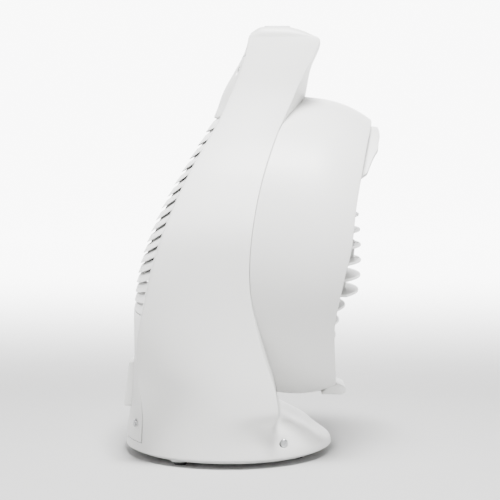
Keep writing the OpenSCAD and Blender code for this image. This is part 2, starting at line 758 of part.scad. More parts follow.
module front_grille() {
    color(white) union() {
        difference() {
            union() {
                intersection() {
                    on_axis(guard_top) tube(grille_r, grille_r - grille_t, grille_l);
                    side_cut(ring_region(grille_back));
                }
                for (k = [fin_low : fin_high]) grille_fin(grille_z + k * fin_pitch);
                for (y = [-strut_y, 0, strut_y]) grille_strut(y);
            }
            on_axis(cap_s) cylinder(r = cap_r + grille_gap, h = through);
        }
        on_axis(cap_s - boss_depth) cylinder(r = cap_r, h = boss_depth);
    }
}
module grille_cap() {
    color(white) on_axis(cap_s) union() {
        cylinder(r = cap_r, h = cap_l - cap_edge);
        translate([0, 0, cap_l - cap_edge]) cylinder(r1 = cap_r, r2 = cap_r - cap_edge, h = cap_edge);
    }
}
guard_r = ring_r - ring_t - 0.2;
guard_hole = 6;
guard_n = floor((guard_r - guard_hole) / guard_pitch);
module safety_guard() {
    color("silver") on_axis(ring_s + lip_t) union() {
        for (i = [0 : guard_n]) let (r = guard_r - i * guard_pitch) tube(r, r - guard_t, guard_t);
        for (i = [0 : 3]) rotate([0, 0, i * 45])
            translate([-guard_r + guard_t / 4, -guard_t / 2, 0])
                cube([2 * guard_r - guard_t / 2, guard_t, guard_t]);
    }
}

// Heater: a square duct on a round flange, with the ceramic strips across it
frame_in = strip_l + 0.6;
frame_t = 2;
frame_l = 20;
strip_s = (frame_l - strip_d) / 2;
frame_out = frame_in + 2 * frame_t;
strip_pitch = frame_in / strip_n;
module square_duct(size, length) {
    translate([-size / 2, -size / 2, 0]) cube([size, size, length]);
}
module heater_frame() {
    color("lightgrey") on_axis() difference() {
        union() {
            cylinder(r = flange_r - seam, h = frame_t);
            square_duct(frame_out, frame_l);
        }
        translate([0, 0, -past]) square_duct(frame_in, frame_l + 2 * past);
        translate([0, 0, -past]) on_circle(bolt_r, bolt_n, bolt_turn)
            cylinder(r = through_r, h = frame_t + 2 * past);
    }
}
module heating_strips() {
    color("darkgrey") on_axis(strip_s) for (i = [0 : strip_n - 1])
        translate([-frame_in / 2 + (i + 0.5) * strip_pitch - strip_h / 2, -frame_in / 2, 0])
            cube([strip_h, frame_in, strip_d]);
}
cutout_r = 7.5;
cutout_s = frame_t + cutout_r + 0.5;
cutout_y = 18;
cutout_flange = 4;
cutout_h = 9;
fuse_r = 2.2;
fuse_l = 11;
fuse_y = -30;
module thermal_cutout() {
    color("silver") on_axis(cutout_s) translate([-frame_out / 2, cutout_y, 0]) rotate([0, -90, 0]) union() {
        cylinder(r = cutout_r, h = cutout_flange);
        cylinder(r = cutout_r - 1, h = cutout_h);
    }
}
module thermal_fuse() {
    color("silver") on_axis(cutout_s) translate([-frame_out / 2 - fuse_r, fuse_y, 0]) rotate([90, 0, 0])
        cylinder(r = fuse_r, h = fuse_l);
}

module fan_shroud() {
    ear_root = duct_r + duct_t / 2;
    ear_l = ear_screw_y + ear_end - ear_root;
    color(white) on_axis() difference() {
        union() {
            translate([0, 0, duct_back]) tube(duct_r + duct_t, duct_r, flange_s - duct_back);
            translate([0, 0, flange_s]) tube(flange_r, duct_r, flange_t);
            for (s = [-1, 1]) translate([-ear_half, s > 0 ? ear_root : -ear_root - ear_l, ear_s])
                cube([2 * ear_half, ear_l, ear_t]);
        }
        translate([0, 0, flange_s - past]) on_circle(bolt_r, bolt_n, bolt_turn)
            cylinder(r = through_r, h = flange_t + 2 * past);
        for (s = [-1, 1], u = [-1, 1]) translate([u * ear_gap / 2, s * ear_screw_y, ear_s - past])
            cylinder(r = through_r, h = ear_t + 2 * past);
    }
}
plate_r = stator_w / 2 + 8;
corner_in = 6;
stator_bolt_r = (stator_w / 2 - corner_in) * sqrt(2);
arm_w = 12;
arm_root = 2;
mount_in = 4;
module motor_mount() {
    color("silver") on_axis(mount_s) difference() {
        union() {
            cylinder(r = plate_r, h = mount_t);
            tube(duct_r + duct_t, duct_r - mount_in, mount_t);
            for (i = [0 : 3]) rotate([0, 0, 45 + i * 90]) translate([plate_r - arm_root, -arm_w / 2, 0])
                cube([duct_r - plate_r, arm_w, mount_t]);
        }
        translate([0, 0, -past]) cylinder(r = boss_r + 1, h = mount_t + 2 * past);
        translate([0, 0, -past]) on_circle(stator_bolt_r, 4, 45)
            cylinder(r = through_r, h = mount_t + 2 * past);
    }
}
// Bracket across one end of the stator: feet at the corners, a plate, and a cup for the bearing
module motor_bracket(foot_l, cup_l) {
    difference() {
        union() {
            on_circle(stator_bolt_r, 4, 45) cylinder(r = bracket_foot_r, h = foot_l);
            translate([0, 0, foot_l])
                cylinder(r = stator_bolt_r + bracket_foot_r + bracket_edge, h = bracket_t);
            translate([0, 0, foot_l]) cylinder(r = boss_r, h = cup_l);
        }
        translate([0, 0, foot_l - past]) cylinder(r = bush_r, h = cup_l + 2 * past);
        translate([0, 0, -past]) on_circle(stator_bolt_r, 4, 45)
            cylinder(r = through_r, h = foot_l + bracket_t + 2 * past);
    }
}
bracket_foot_r = 4;
bracket_edge = 0.6;
foot_l = coil_t + coil_gap;
cup_l = bracket_t + boss_l;
module front_bracket() {
    color("silver") on_axis(stator_s + stator_l) motor_bracket(foot_l, cup_l);
}
module rear_bracket() {
    color("silver") on_axis(stator_s) mirror([0, 0, 1]) motor_bracket(foot_l, cup_l);
}
module bearings() {
    color("goldenrod") {
        on_axis(stator_s + stator_l + foot_l) tube(bush_r, shaft_r + run, cup_l);
        on_axis(stator_s) mirror([0, 0, 1]) translate([0, 0, foot_l]) tube(bush_r, shaft_r + run, cup_l);
    }
}
module motor_stator() {
    color("grey") on_axis(stator_s) difference() {
        translate([-stator_w / 2, -stator_w / 2, 0]) cube([stator_w, stator_w, stator_l]);
        translate([0, 0, -past]) cylinder(r = rotor_r + air_gap, h = stator_l + 2 * past);
        translate([0, 0, -past]) on_circle(stator_bolt_r, 4, 45)
            cylinder(r = through_r, h = stator_l + 2 * past);
    }
}
module motor_coils() {
    color("chocolate") for (s = [stator_s - coil_t, stator_s + stator_l])
        on_axis(s) tube(coil_r + coil_w, coil_r, coil_t);
}
module motor_rotor() {
    color("grey") on_axis(stator_s) tube(rotor_r, shaft_r, stator_l);
}
shaft_end = 0.5;
shaft_nose = 1;
shaft_s = stator_s - foot_l - cup_l - shaft_end;
shaft_l = fan_s + hub_l + clip_t + shaft_nose - shaft_s;
module motor_shaft() {
    color("silver") on_axis(shaft_s) cylinder(r = shaft_r, h = shaft_l);
}
blade_t = 2;
blade_pitch = 32;
blade_w = 52;
blade_root = 4;
blade_edge = 1;
module fan() {
    color(dark) on_axis(fan_s) difference() {
        union() {
            cylinder(r = hub_r, h = hub_l);
            intersection() {
                on_circle(0, blade_n) translate([hub_r - blade_root, 0, hub_l / 2]) rotate([blade_pitch, 0, 0])
                    translate([0, -blade_w / 2, -blade_t / 2]) cube([fan_r, blade_w, blade_t]);
                translate([0, 0, blade_edge]) cylinder(r = fan_r, h = hub_l - 2 * blade_edge, $fn = 120);
            }
        }
        translate([0, 0, -past]) cylinder(r = shaft_r, h = hub_l + 2 * past);
    }
}
module fan_clip() {
    color("silver") on_axis(fan_s + hub_l) tube(shaft_r + clip_w, shaft_r, clip_t);
}

// Controls in the neck
module control_panel() {
    color(grey) difference() {
        neck_plan(recess_in + seam, deck_h - deck_t, deck_h);
        for (s = [-1, 1]) translate([control_x, s * knob_gap / 2, deck_h - 2 * deck_t])
            cylinder(r = spindle_r + spindle_gap, h = 3 * deck_t);
        translate([control_x, 0, deck_h - 2 * deck_t]) cylinder(r = lamp_r, h = 3 * deck_t);
    }
}
spindle_gap = 0.4;
spindle_in = 7;
knob_seat = 1;
knob_draft = 0.8;
knob_grip_h = 3;
knob_grip_in = 1.5;
knob_grip_w = 4;
module knob(side) {
    translate([control_x, side * knob_gap / 2, deck_h + knob_lift]) difference() {
        union() {
            cylinder(r1 = knob_r, r2 = knob_r - knob_draft, h = knob_h - knob_grip_h);
            translate([-knob_r + knob_grip_in, -knob_grip_w / 2, 0])
                cube([2 * (knob_r - knob_grip_in), knob_grip_w, knob_h]);
        }
        translate([0, 0, -past]) cylinder(r = spindle_r, h = spindle_in + past + knob_seat);
    }
}
module heat_knob() {
    color(grey) knob(-1);
}
module thermostat_knob() {
    color(grey) knob(1);
}
spindle_end = deck_h + knob_lift + spindle_in;
switch_r = switch_w / 2 - 1;
spindle_root = 1;
module switch_body(side) {
    translate([control_x, side * knob_gap / 2, 0]) union() {
        translate([0, 0, deck_h - deck_t - switch_h]) cylinder(r = switch_r, h = switch_h);
        translate([0, 0, deck_h - deck_t - spindle_root])
            cylinder(r = spindle_r - run, h = spindle_end - deck_h + deck_t + spindle_root);
    }
}
module heat_switch() {
    color(dark) switch_body(-1);
}
module thermostat() {
    color(dark) switch_body(1);
}
lamp_foot = 4;
lamp_nose = 1;
module pilot_lamp() {
    color("orangered") translate([control_x, 0, deck_h - deck_t - lamp_foot]) union() {
        cylinder(r = lamp_r, h = deck_t + lamp_foot + lamp_nose);
        cylinder(r = lamp_r + 1, h = lamp_foot);
    }
}

// Base
module base_plate() {
    color(white) difference() {
        union() {
            translate([0, 0, plate_h]) linear_extrude(height = base_t) polygon(full_ring(rim_h, base_inset));
            translate([0, 0, floor_h - lap_t]) linear_extrude(height = lap_t)
                polygon(full_ring(rim_h, wall - lap));
            for (p = foot_places) translate([p[0], p[1], pad_h])
                cylinder(r = pad_r + pad_edge, h = plate_h - pad_h + past);
            for (s = [-1, 1]) translate([ballast_x, s * ballast_y, floor_h - past])
                cylinder(r = peg_r, h = ballast_t + past + peg_top);
        }
        translate([tip_x, 0, 0]) cylinder(r = plunger_r + seam, h = 2 * floor_h);
        for (p = foot_places) translate([p[0], p[1], 0]) {
            cylinder(r = through_r, h = 2 * floor_h);
            cylinder(r = head_r + head_room, h = pad_h + head_seat);
        }
    }
}
// The plate's edge laps under the shell's rim
lap = 1;
lap_t = 1.2;
head_seat = 2.2;
peg_r = 2.5;
peg_top = 0.5;
pad_edge = 2;
pad_draft = 0.6;
tip_w = 20;
ballast_w = 28;
ballast_l = 116;
ballast_gap = 1;
ballast_x = tip_x + tip_w / 2 + ballast_gap + ballast_w / 2;
ballast_y = 40;
module ballast_plate() {
    color("dimgrey") difference() {
        translate([ballast_x - ballast_w / 2, -ballast_l / 2, floor_h]) cube([ballast_w, ballast_l, ballast_t]);
        for (s = [-1, 1]) translate([ballast_x, s * ballast_y, 0])
            cylinder(r = peg_r, h = floor_h + 2 * ballast_t);
    }
}
module rubber_feet() {
    color("black") for (p = foot_places) translate([p[0], p[1], 0]) 
        cylinder(r1 = pad_r - pad_draft, r2 = pad_r, h = pad_h);
}
collar_t = 2;
collar_edge = 1.5;
collar_gap = 0.2;
collar_h = floor_h + plunger_travel + collar_gap;
tip_body_h = 22;
tip_roof = 3;
tip_body_r = plunger_r + 2.5;
module tip_switch() {
    color(dark) translate([tip_x, 0, floor_h]) difference() {
        translate([-tip_w / 2, -tip_w / 2, 0]) cube([tip_w, tip_w, tip_body_h]);
        translate([0, 0, -past]) cylinder(r = tip_body_r, h = tip_body_h - tip_roof + past);
    }
}
stem_r = 2;
stem_l = 6;
spring_gap = 0.8;
spring_t = 1.2;
spring_top = floor_h + tip_body_h - tip_roof;
module tip_plunger() {
    color(grey) translate([tip_x, 0, 0]) union() {
        translate([0, 0, collar_gap]) cylinder(r = plunger_r, h = collar_h + collar_t / 2);
        translate([0, 0, collar_h]) cylinder(r = plunger_r + collar_edge, h = collar_t);
        translate([0, 0, collar_h]) cylinder(r = stem_r, h = collar_t + stem_l);
    }
}
module plunger_spring() {
    color("silver") translate([tip_x, 0, collar_h + collar_t])
        tube(stem_r + spring_gap + spring_t, stem_r + spring_gap, spring_top - collar_h - collar_t);
}
block_x = -62;
block_y = 14;
block_w = 12;
block_l = 30;
block_h = 14;
module terminal_block() {
    color("ivory") translate([block_x, block_y, floor_h]) cube([block_w, block_l, block_h]);
}
inlet_bore_z = inlet_z0 + inlet_h / 2;
bush_out_r = cord_r + 2.8;
inlet_face = -95.5;
inlet_end = inlet_face + 15.5;
inlet_flange_t = 2.2;
inlet_flange = 3;
tray_l = 13;
tray_w = 28;
module inlet_outline() {
    side_cut([
        [inlet_end, inlet_z0], [inlet_face + 0.2, inlet_z0], [inlet_face, inlet_z0 + 1],
        [inlet_face + 3.7, inlet_z0 + inlet_h - 1], [inlet_face + 4.5, inlet_z0 + inlet_h],
        [inlet_end, inlet_z0 + inlet_h]
    ], inlet_w);
}
flange_x = -82.2;
module cord_inlet() {
    color(grey) difference() {
        union() {
            intersection() {
                inlet_outline();
                translate([flange_x + past - through, -through / 2, 0]) cube(through);
            }
            translate([flange_x, -inlet_w / 2 - inlet_flange, inlet_z0 - inlet_flange])
                cube([inlet_flange_t, inlet_w + 2 * inlet_flange, inlet_h + 2 * inlet_flange]);
            translate([flange_x, -tray_w / 2, inlet_z0]) cube([tray_l, tray_w, clamp_base - inlet_z0]);
        }
        translate([inlet_face - past, 0, inlet_bore_z]) rotate([0, 90, 0])
            cylinder(r = bush_out_r, h = flange_x + inlet_flange_t - inlet_face + 2 * past);
        translate([inlet_face - past, 0, inlet_bore_z]) rotate([0, 90, 0])
            cylinder(r = bush_out_r + bush_rim + 0.2, h = bush_x + bush_rim_t - inlet_face + past);
        for (s = [-1, 1]) translate([clamp_x + clamp_l / 2, s * clamp_y, clamp_base - clamp_bite - past])
            cylinder(r = thread_r, h = clamp_bite + 2 * past);
    }
}
bush_x = -93;
bush_rim = 2.3;
bush_rim_t = 2;
gland_l = 10;
module gland_bush() {
    color(dark) translate([bush_x, 0, inlet_bore_z]) rotate([0, 90, 0]) difference() {
        union() {
            cylinder(r = bush_out_r + bush_rim, h = bush_rim_t);
            cylinder(r = bush_out_r, h = gland_l);
        }
        translate([0, 0, -past]) cylinder(r = cord_r, h = gland_l + 2 * past);
    }
}
clamp_x = -78;
clamp_y = 9.5;
clamp_w = 26;
clamp_base = inlet_bore_z - cord_r;
clamp_l = 7;
clamp_h = 2 * cord_r + 3.5;
clamp_bite = 4;
module cord_clamp() {
    color(grey) difference() {
        translate([clamp_x, -clamp_w / 2, clamp_base]) cube([clamp_l, clamp_w, clamp_h]);
        translate([clamp_x - past, 0, inlet_bore_z]) rotate([0, 90, 0])
            cylinder(r = cord_r, h = clamp_l + 2 * past);
        translate([clamp_x - past, -cord_r, clamp_base - past])
            cube([clamp_l + 2 * past, 2 * cord_r, cord_r + past]);
        for (s = [-1, 1]) translate([clamp_x + clamp_l / 2, s * clamp_y, 0])
            cylinder(r = through_r, h = through);
    }
}

// Screws, with their heads on what they hold
module side_screws() {
    color("silver") for (s = [-1, 1]) in_dimple(s) translate([0, 0, dimple_d])
        screw(dimple_post - dimple_d - 2 * past);
}
module base_screws() {
    color("silver") for (p = foot_places) translate([p[0], p[1], pad_h + head_seat]) screw(base_screw_l);
}
module cover_screws() {
    color("silver") for (p = cover_places)
        translate([p[0] - seam - head_sink, p[1], p[2]]) rotate([0, 90, 0]) screw(cover_screw_l);
}
module duct_screws() {
    color("silver") {
        on_axis(flange_s) on_circle(bolt_r, bolt_n, bolt_turn) screw(flange_t + shelf_t + frame_t + past);
        at_ear_screws(ear_s + ear_t) mirror([0, 0, 1]) screw(ear_t + seam + ear_block_t - past);
    }
}
module motor_screws() {
    length = mount_t + 2 * (bracket_t + foot_l) + stator_l;
    color("silver") on_axis(mount_s + mount_t) on_circle(stator_bolt_r, 4, 45) mirror([0, 0, 1]) screw(length);
}
module clamp_screws() {
    color("silver") for (s = [-1, 1]) translate([clamp_x + clamp_l / 2, s * clamp_y, clamp_base + clamp_h])
        mirror([0, 0, 1]) screw(clamp_h + clamp_bite);
}

// Leads from the terminal block along the shell's side to the switches
lead_r = 1.4;
lead_sides = 8;
lead_low = floor_h + block_h + lead_r;
switch_low = deck_h - deck_t - switch_h;
lead_room = duct_r + duct_t + lead_r + 1;
// Point inside the shell: the share of the way from the seam to the front edge, and the distance from the side,
// outside the fan's duct
function inside(z, share, y_in) =
    let (
        x = mix(curve(seam_x, z), curve(edge_x, z), share),
        duct_y = sqrt(max(pow(lead_room, 2) - pow(across(x, z), 2), 0))
    )
    [x, max(curve(side_y, z) - y_in, duct_y), z];
lead_a = concat(
    [[-56, 22, lead_low], [-60, 40, 34]],
    [for (v = [
        [low(0.42), 0.26, 36], [low(0.71), 0.4, 18], [low(0.97), 0.41, 14], [up(0.22), 0.4, 12],
        [up(0.42), 0.32, 9], [up(0.61), 0.31, 17]
    ]) inside(v[0], v[1], v[2])],
    [[control_x - 10, knob_gap / 2 + 11, switch_low - 14], [control_x, knob_gap / 2 + 3, switch_low - lead_r]]
);
lead_b = concat(
    [[-52, 30, lead_low], [-54, 48, 34]],
    [for (v = [
        [low(0.42), 0.34, 33], [low(0.71), 0.47, 16], [low(0.97), 0.49, 12], [up(0.22), 0.48, 10],
        [up(0.42), 0.43, 11], [up(0.61), 0.4, 23]
    ]) inside(v[0], v[1], v[2])],
    [[control_x - 10, 4, switch_low - 14], [control_x, 3 - knob_gap / 2, switch_low - lead_r]]
);
function route(p, t) =
    let (
        n = len(p) - 1, i = min(floor(t * n), n - 1), u = t * n - i,
        a = p[max(i - 1, 0)], b = p[i], c = p[i + 1], d = p[min(i + 2, n)]
    )
    0.5 * (2 * b + (c - a) * u + (2 * a - 5 * b + 4 * c - d) * u * u + (3 * b - a - 3 * c + d) * u * u * u);
module lead(p) {
    steps = 36;
    rings = [for (k = [0 : steps])
        let (
            c = route(p, k / steps),
            d = route(p, min(k + 1, steps) / steps) - route(p, max(k - 1, 0) / steps),
            t = d / norm(d),
            u = cross(t, [0, 1, 0]) / norm(cross(t, [0, 1, 0])),
            v = cross(t, u)
        )
        [for (j = [0 : lead_sides - 1])
            let (a = -360 * j / lead_sides)
            c + lead_r * (u * cos(a) + v * sin(a))]];
    loft(rings);
}
module inner_leads() {
    color("firebrick") {
        lead(lead_a);
        lead(lead_b);
    }
}

main_shell();
rear_cover();
outlet_barrel();
front_ring();
front_grille();
grille_cap();
safety_guard();
heater_frame();
heating_strips();
thermal_cutout();
thermal_fuse();
fan_shroud();
motor_mount();
front_bracket();
rear_bracket();
bearings();
motor_stator();
motor_coils();
motor_rotor();
motor_shaft();
fan();
fan_clip();
control_panel();
heat_knob();
thermostat_knob();
heat_switch();
thermostat();
pilot_lamp();
base_plate();
ballast_plate();
rubber_feet();
tip_switch();
tip_plunger();
plunger_spring();
terminal_block();
cord_inlet();
gland_bush();
cord_clamp();
side_screws();
base_screws();
cover_screws();
duct_screws();
motor_screws();
clamp_screws();
inner_leads();
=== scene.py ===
import json
from math import cos, exp, pi, radians, sin, sqrt

import bmesh
import bpy
from bpy.props import FloatProperty, FloatVectorProperty, IntProperty, PointerProperty
from mathutils import Matrix, Vector


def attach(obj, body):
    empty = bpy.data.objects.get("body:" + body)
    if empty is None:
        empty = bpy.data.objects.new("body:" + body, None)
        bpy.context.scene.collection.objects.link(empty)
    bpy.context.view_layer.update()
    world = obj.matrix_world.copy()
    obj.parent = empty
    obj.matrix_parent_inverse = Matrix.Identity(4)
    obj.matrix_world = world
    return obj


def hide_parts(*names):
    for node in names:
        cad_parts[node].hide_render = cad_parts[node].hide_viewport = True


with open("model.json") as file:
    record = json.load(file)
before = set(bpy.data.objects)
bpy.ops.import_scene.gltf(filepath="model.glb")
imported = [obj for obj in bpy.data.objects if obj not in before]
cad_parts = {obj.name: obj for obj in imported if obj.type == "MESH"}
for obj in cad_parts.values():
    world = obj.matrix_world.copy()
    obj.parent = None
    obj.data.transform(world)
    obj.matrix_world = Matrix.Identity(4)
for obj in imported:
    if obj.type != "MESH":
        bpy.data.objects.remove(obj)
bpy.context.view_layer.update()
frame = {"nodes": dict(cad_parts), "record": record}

bl_info = {
    "name": "Fan heater",
    "version": (1, 0, 0),
    "blender": (4, 5, 0),
    "location": "View3D > Sidebar > Fan heater",
    "description": "Builds the visible pieces of an upright fan heater round its packed frame",
    "category": "Object",
}

MM = 0.001

# Sizes in millimetres that several pieces share
COVER_WALL = 2.8
RING_WALL = 3.5
RING_BACK = 24
INLET_HALF, INLET_LOW, INLET_HIGH = 22, 35, 68
HEAD_ROOM_R, HOLE_R, COVER_SCREW_SINK = 3.44, 1.8, 1.5


def length(name, description, default):
    """A size in metres for the panel."""
    return FloatProperty(name=name, description=description, default=default, unit="LENGTH", precision=4)


def colour(name, description, default):
    """A colour for the panel."""
    return FloatVectorProperty(
        name=name, description=description, default=default, size=3, subtype="COLOR", min=0, max=1
    )


class HeaterSizes(bpy.types.PropertyGroup):
    """Sizes of the heater's outline and fittings"""

    body_h: length("Body height", "Height of the rim round the controls", 0.314)
    body_w: length("Body width", "Width of the shell at the outlet's axis", 0.221)
    neck_w: length("Neck width", "Width of the shell at its top", 0.094)
    foot_w: length("Foot width", "Width of the foot", 0.210)
    foot_front: length("Foot front", "How far the foot reaches forward", 0.0585)
    rim_h: length("Rim height", "Height of the shell's lower rim", 0.0065)
    wall: length("Wall", "Thickness of the moulded walls", 0.0025)
    axis_h: length("Axis height", "Height of the outlet's axis at the shell", 0.154)
    axis_x: length("Axis place", "How far forward the axis leaves the shell", 0.0295)
    tilt: FloatProperty(
        name="Tilt", description="Downward tilt of the outlet", default=radians(7), subtype="ANGLE"
    )
    barrel_r: length("Barrel radius", "Outer radius of the barrel at the shell", 0.111)
    mouth_r: length("Mouth radius", "Outer radius of the barrel at its mouth", 0.0995)
    barrel_l: length("Barrel length", "Length of the barrel in front of the shell", 0.0476)
    ring_r: length("Ring radius", "Outer radius of the front ring", 0.092)
    visor_x: length("Visor reach", "How far the visor reaches forward", 0.0955)
    fin_pitch: length("Fin pitch", "Height from one grille fin to the next", 0.0112)
    fin_t: length("Fin thickness", "Thickness of a grille fin", 0.0018)
    fin_depth: length("Fin depth", "Depth of a grille fin", 0.012)
    cap_r: length("Cap radius", "Radius of the cap in the grille", 0.0095)
    guard_pitch: length("Guard pitch", "Distance from one guard hoop to the next", 0.009)
    guard_t: length("Guard wire", "Thickness of the guard's wire", 0.0018)
    louvre_pitch: length("Louvre pitch", "Height from one louvre to the next", 0.00825)
    louvre_low: length("Louvres from", "Height at which the louvres start", 0.101)
    louvre_high: length("Louvres to", "Height at which the louvres end", 0.249)
    fan_r: length("Fan radius", "Radius of the fan", 0.086)
    hub_r: length("Hub radius", "Radius of the fan's hub", 0.019)
    blade_n: IntProperty(name="Blades", description="Number of fan blades", default=5, min=3, max=9)
    strip_n: IntProperty(name="Strips", description="Number of heating strips", default=4, min=3, max=5)
    knob_r: length("Knob radius", "Radius of a control knob", 0.011)
    knob_h: length("Knob height", "Height of a control knob", 0.012)
    knob_gap: length("Knob distance", "Distance between the knobs' axes", 0.042)
    recess_d: length("Recess depth", "Depth of the recess round the knobs", 0.0105)
    seam: length("Seam", "Gap between moulded pieces", 0.0003)


class HeaterColours(bpy.types.PropertyGroup):
    """Colours of the heater's finishes"""

    white: colour("White plastic", "Shell, covers, barrel and grille", (0.75, 0.75, 0.735))
    grey: colour("Grey plastic", "Control panel", (0.40, 0.41, 0.41))
    knob: colour("Knob plastic", "Control knobs", (0.66, 0.665, 0.66))
    base: colour("Base plastic", "Base plate", (0.62, 0.625, 0.62))
    heat: colour("Heat-proof plastic", "Heater frame and duct", (0.70, 0.70, 0.67))
    dark: colour("Dark plastic", "Fan and switches", (0.035, 0.036, 0.038))
    rubber: colour("Rubber", "Feet and gland bush", (0.018, 0.018, 0.019))
    steel: colour("Steel", "Wire guard, screws and brackets", (0.60, 0.61, 0.62))
    copper: colour("Copper", "Motor windings", (0.62, 0.25, 0.10))
    lamp: colour("Lamp", "Lens of the pilot lamp", (0.85, 0.13, 0.03))
    lead: colour("Leads", "Insulation of the inner leads", (0.35, 0.04, 0.03))
    floor: colour("Floor", "Floor and backdrop", (0.48, 0.48, 0.477))


# Plain curves through points of height and value

def curve(points, z):
    """Value at height z on the smooth curve through the points."""
    last = len(points) - 2
    i = next((k for k in range(last) if z <= points[k + 1][0]), last)

    def slope(k):
        a, b = points[max(k - 1, 0)], points[min(k + 1, len(points) - 1)]
        return (b[1] - a[1]) / (b[0] - a[0])

    h = points[i + 1][0] - points[i][0]
    t = min(max((z - points[i][0]) / h, 0), 1)
    a = 2 * t**3 - 3 * t**2 + 1
    b = t**3 - 2 * t**2 + t
    c = t**3 - t**2
    return a * points[i][1] + b * h * slope(i) + (1 - a) * points[i + 1][1] + c * h * slope(i + 1)


def smooth(a, b, z):
    """Smooth step from 0 at a to 1 at b."""
    t = min(max((z - a) / (b - a), 0), 1)
    return t * t * (3 - 2 * t)


def mix(a, b, t):
    """Value between a and b."""
    return a + (b - a) * t


def steps(a, b, n):
    """The n + 1 values from a to b."""
    return [mix(a, b, i / n) for i in range(n + 1)]


class Form:
    """The heater's outline in millimetres, worked out from the sizes in the panel"""

    wide_x = -17
    seam_angle = 35
    edge_angle = 58
    straight_l = 5.5
    visor_low = 208.5
    grille_z = 143.5
    control_x = 18

    def __init__(self, sizes):
        for name in HeaterSizes.__annotations__:
            value = getattr(sizes, name)
            setattr(self, name, value if name in ("tilt", "blade_n", "strip_n") else value / MM)
        low, up = self.low, self.up
        side, foot, neck, front = self.body_w / 2, self.foot_w / 2, self.neck_w / 2, self.foot_front
        self.side_y = [
            (low(0), foot), (low(0.34), foot + 2), (low(0.66), side - 2), (low(1), side),
            (up(0.115), side - 3), (up(0.305), side - 17), (up(0.49), neck + 29.5),
            (up(0.69), neck + 15), (up(0.865), neck + 7), (up(0.97), neck + 2), (up(1), neck - 1),
        ]
        self.back_x = [
            (low(0.04), -94.8), (low(0.15), -93.2), (low(0.3), -90), (low(0.5), -87.9),
            (low(0.7), -88.3), (low(0.86), -85.7), (low(1), -79.8), (up(0.14), -70.6),
            (up(0.29), -58), (up(0.56), -31.8), (up(0.62), -27.3), (up(0.72), -21.3),
            (up(0.86), -8.8), (up(0.92), -4.6), (up(1), -2),
        ]
        self.seam_x = [
            (low(0), -80), (low(0.3), -82), (low(0.58), -81), (low(0.78), -74.8), (low(1), -65.8),
            (up(0.22), -52.7), (up(0.4), -39), (up(0.57), -23.8), (up(0.76), -10.4),
            (up(0.86), -5.4), (up(0.92), -3.8), (up(1), -1.5),
        ]
        self.seam_in = [
            (low(0), 34), (low(0.3), 26), (low(0.58), 10), (low(0.78), 4), (low(1), 2.5), (up(1), 2),
        ]
        self.edge_x = [
            (low(0.14), 18), (low(0.33), 16.6), (low(0.55), 6.2), (low(0.78), -1.6), (low(0.97), -2.2),
            (up(0.14), 0.8), (up(0.31), 6.5), (up(0.49), 15.8), (up(0.64), 26.5), (up(0.75), 34.3),
            (up(0.92), 48), (up(0.945), 48.2), (up(0.97), 41.5), (up(1), 30),
        ]
        self.front_x = [
            (low(0), front), (low(0.06), front), (low(0.1), front - 4), (low(0.143), front - 12),
            (low(0.17), front - 22), (low(0.2), front - 35.5), (low(0.27), 18.6), (low(0.34), 17),
            (low(0.55), 12), (low(0.78), 6), (low(1), 5), (up(0.14), 8), (up(0.31), 15),
            (up(0.49), 26), (up(0.64), 37), (up(0.7), 39.5), (up(0.82), 43.2), (up(0.925), 50),
            (up(0.95), 47.6), (up(0.975), 40.5), (up(1), 32),
        ]
        self.rim_x = [
            (low(0.2), 65), (low(0.31), 62), (low(0.425), 60.2), (low(0.54), 58.6),
            (low(0.665), 58.4), (low(0.86), 64), (low(1), 69.2), (up(0.19), 73), (up(0.32), 77),
            (up(0.46), 82.2), (up(0.59), 89), (up(0.75), 97),
        ]
        self.dome_x = [
            (50, 60), (85, 62), (106, 67), (112, 71), (121, 79), (133, 80.6), (147, 81),
            (170, 80), (193, 77.4), (215, 74), (240, 70),
        ]
        self.cover_foot = mix(self.rim_h, low(0.22), 2 / 9)
        self.cover_top = up(0.87)
        self.deck_h = self.body_h - self.recess_d
        self.axis = (
            Matrix.Translation((self.axis_x, 0, self.axis_h)) @ Matrix.Rotation(pi / 2 + self.tilt, 4, "Y")
        )

    def low(self, share):
        """Height at a share of the stretch below the axis."""
        return share * self.axis_h

    def up(self, share):
        """Height at a share of the stretch above the axis."""
        return self.axis_h + share * (self.body_h - self.axis_h)

    def crisp(self, z, t):
        """Share of the cornered plan over the rounded plan of the foot, which grows sooner in front."""
        rear = smooth(self.low(0.07), self.low(0.46), z)
        return mix(rear, smooth(self.low(0.1), self.low(0.26), z), smooth(1.3, 2, t))

    def oval(self, z, angle, w):
        """Point of the foot's rounded plan."""
        back = self.wide_x - curve(self.back_x, z) - w
        front = curve(self.front_x, z) - w - self.wide_x
        reach = back if angle > 90 else front
        return (
            self.wide_x + reach * cos(radians(angle)),
            (curve(self.side_y, z) - w) * sin(radians(angle)),
        )

    def blend(self, z, rounded, cornered, t):
        """Point between the rounded and the cornered plan."""
        k = self.crisp(z, t)
        return mix(rounded[0], cornered[0], k), mix(rounded[1], cornered[1], k)

    def rear_point(self, z, t, w=0):
        """Point on the back, from its middle to the seam."""
        half = curve(self.side_y, z) - curve(self.seam_in, z) - w
        middle = curve(self.back_x, z) + w
        cornered = (middle + (curve(self.seam_x, z) + w - middle) * t * t, half * t)
        return self.blend(z, self.oval(z, 180 - self.seam_angle * t, w), cornered, t)

    def side_point(self, z, t, w=0):
        """Point on the side, from the seam to the front edge."""
        half = curve(self.side_y, z) - w
        start = half - curve(self.seam_in, z)
        end = half - 1
        bulge = half - (start + end) / 2
        cornered = (
            mix(curve(self.seam_x, z), curve(self.edge_x, z) - w, t),
            mix(start, end, t) + 4 * bulge * t * (1 - t),
        )
        angle = mix(180 - self.seam_angle, self.edge_angle, t)
        return self.blend(z, self.oval(z, angle, w), cornered, 1 + t)

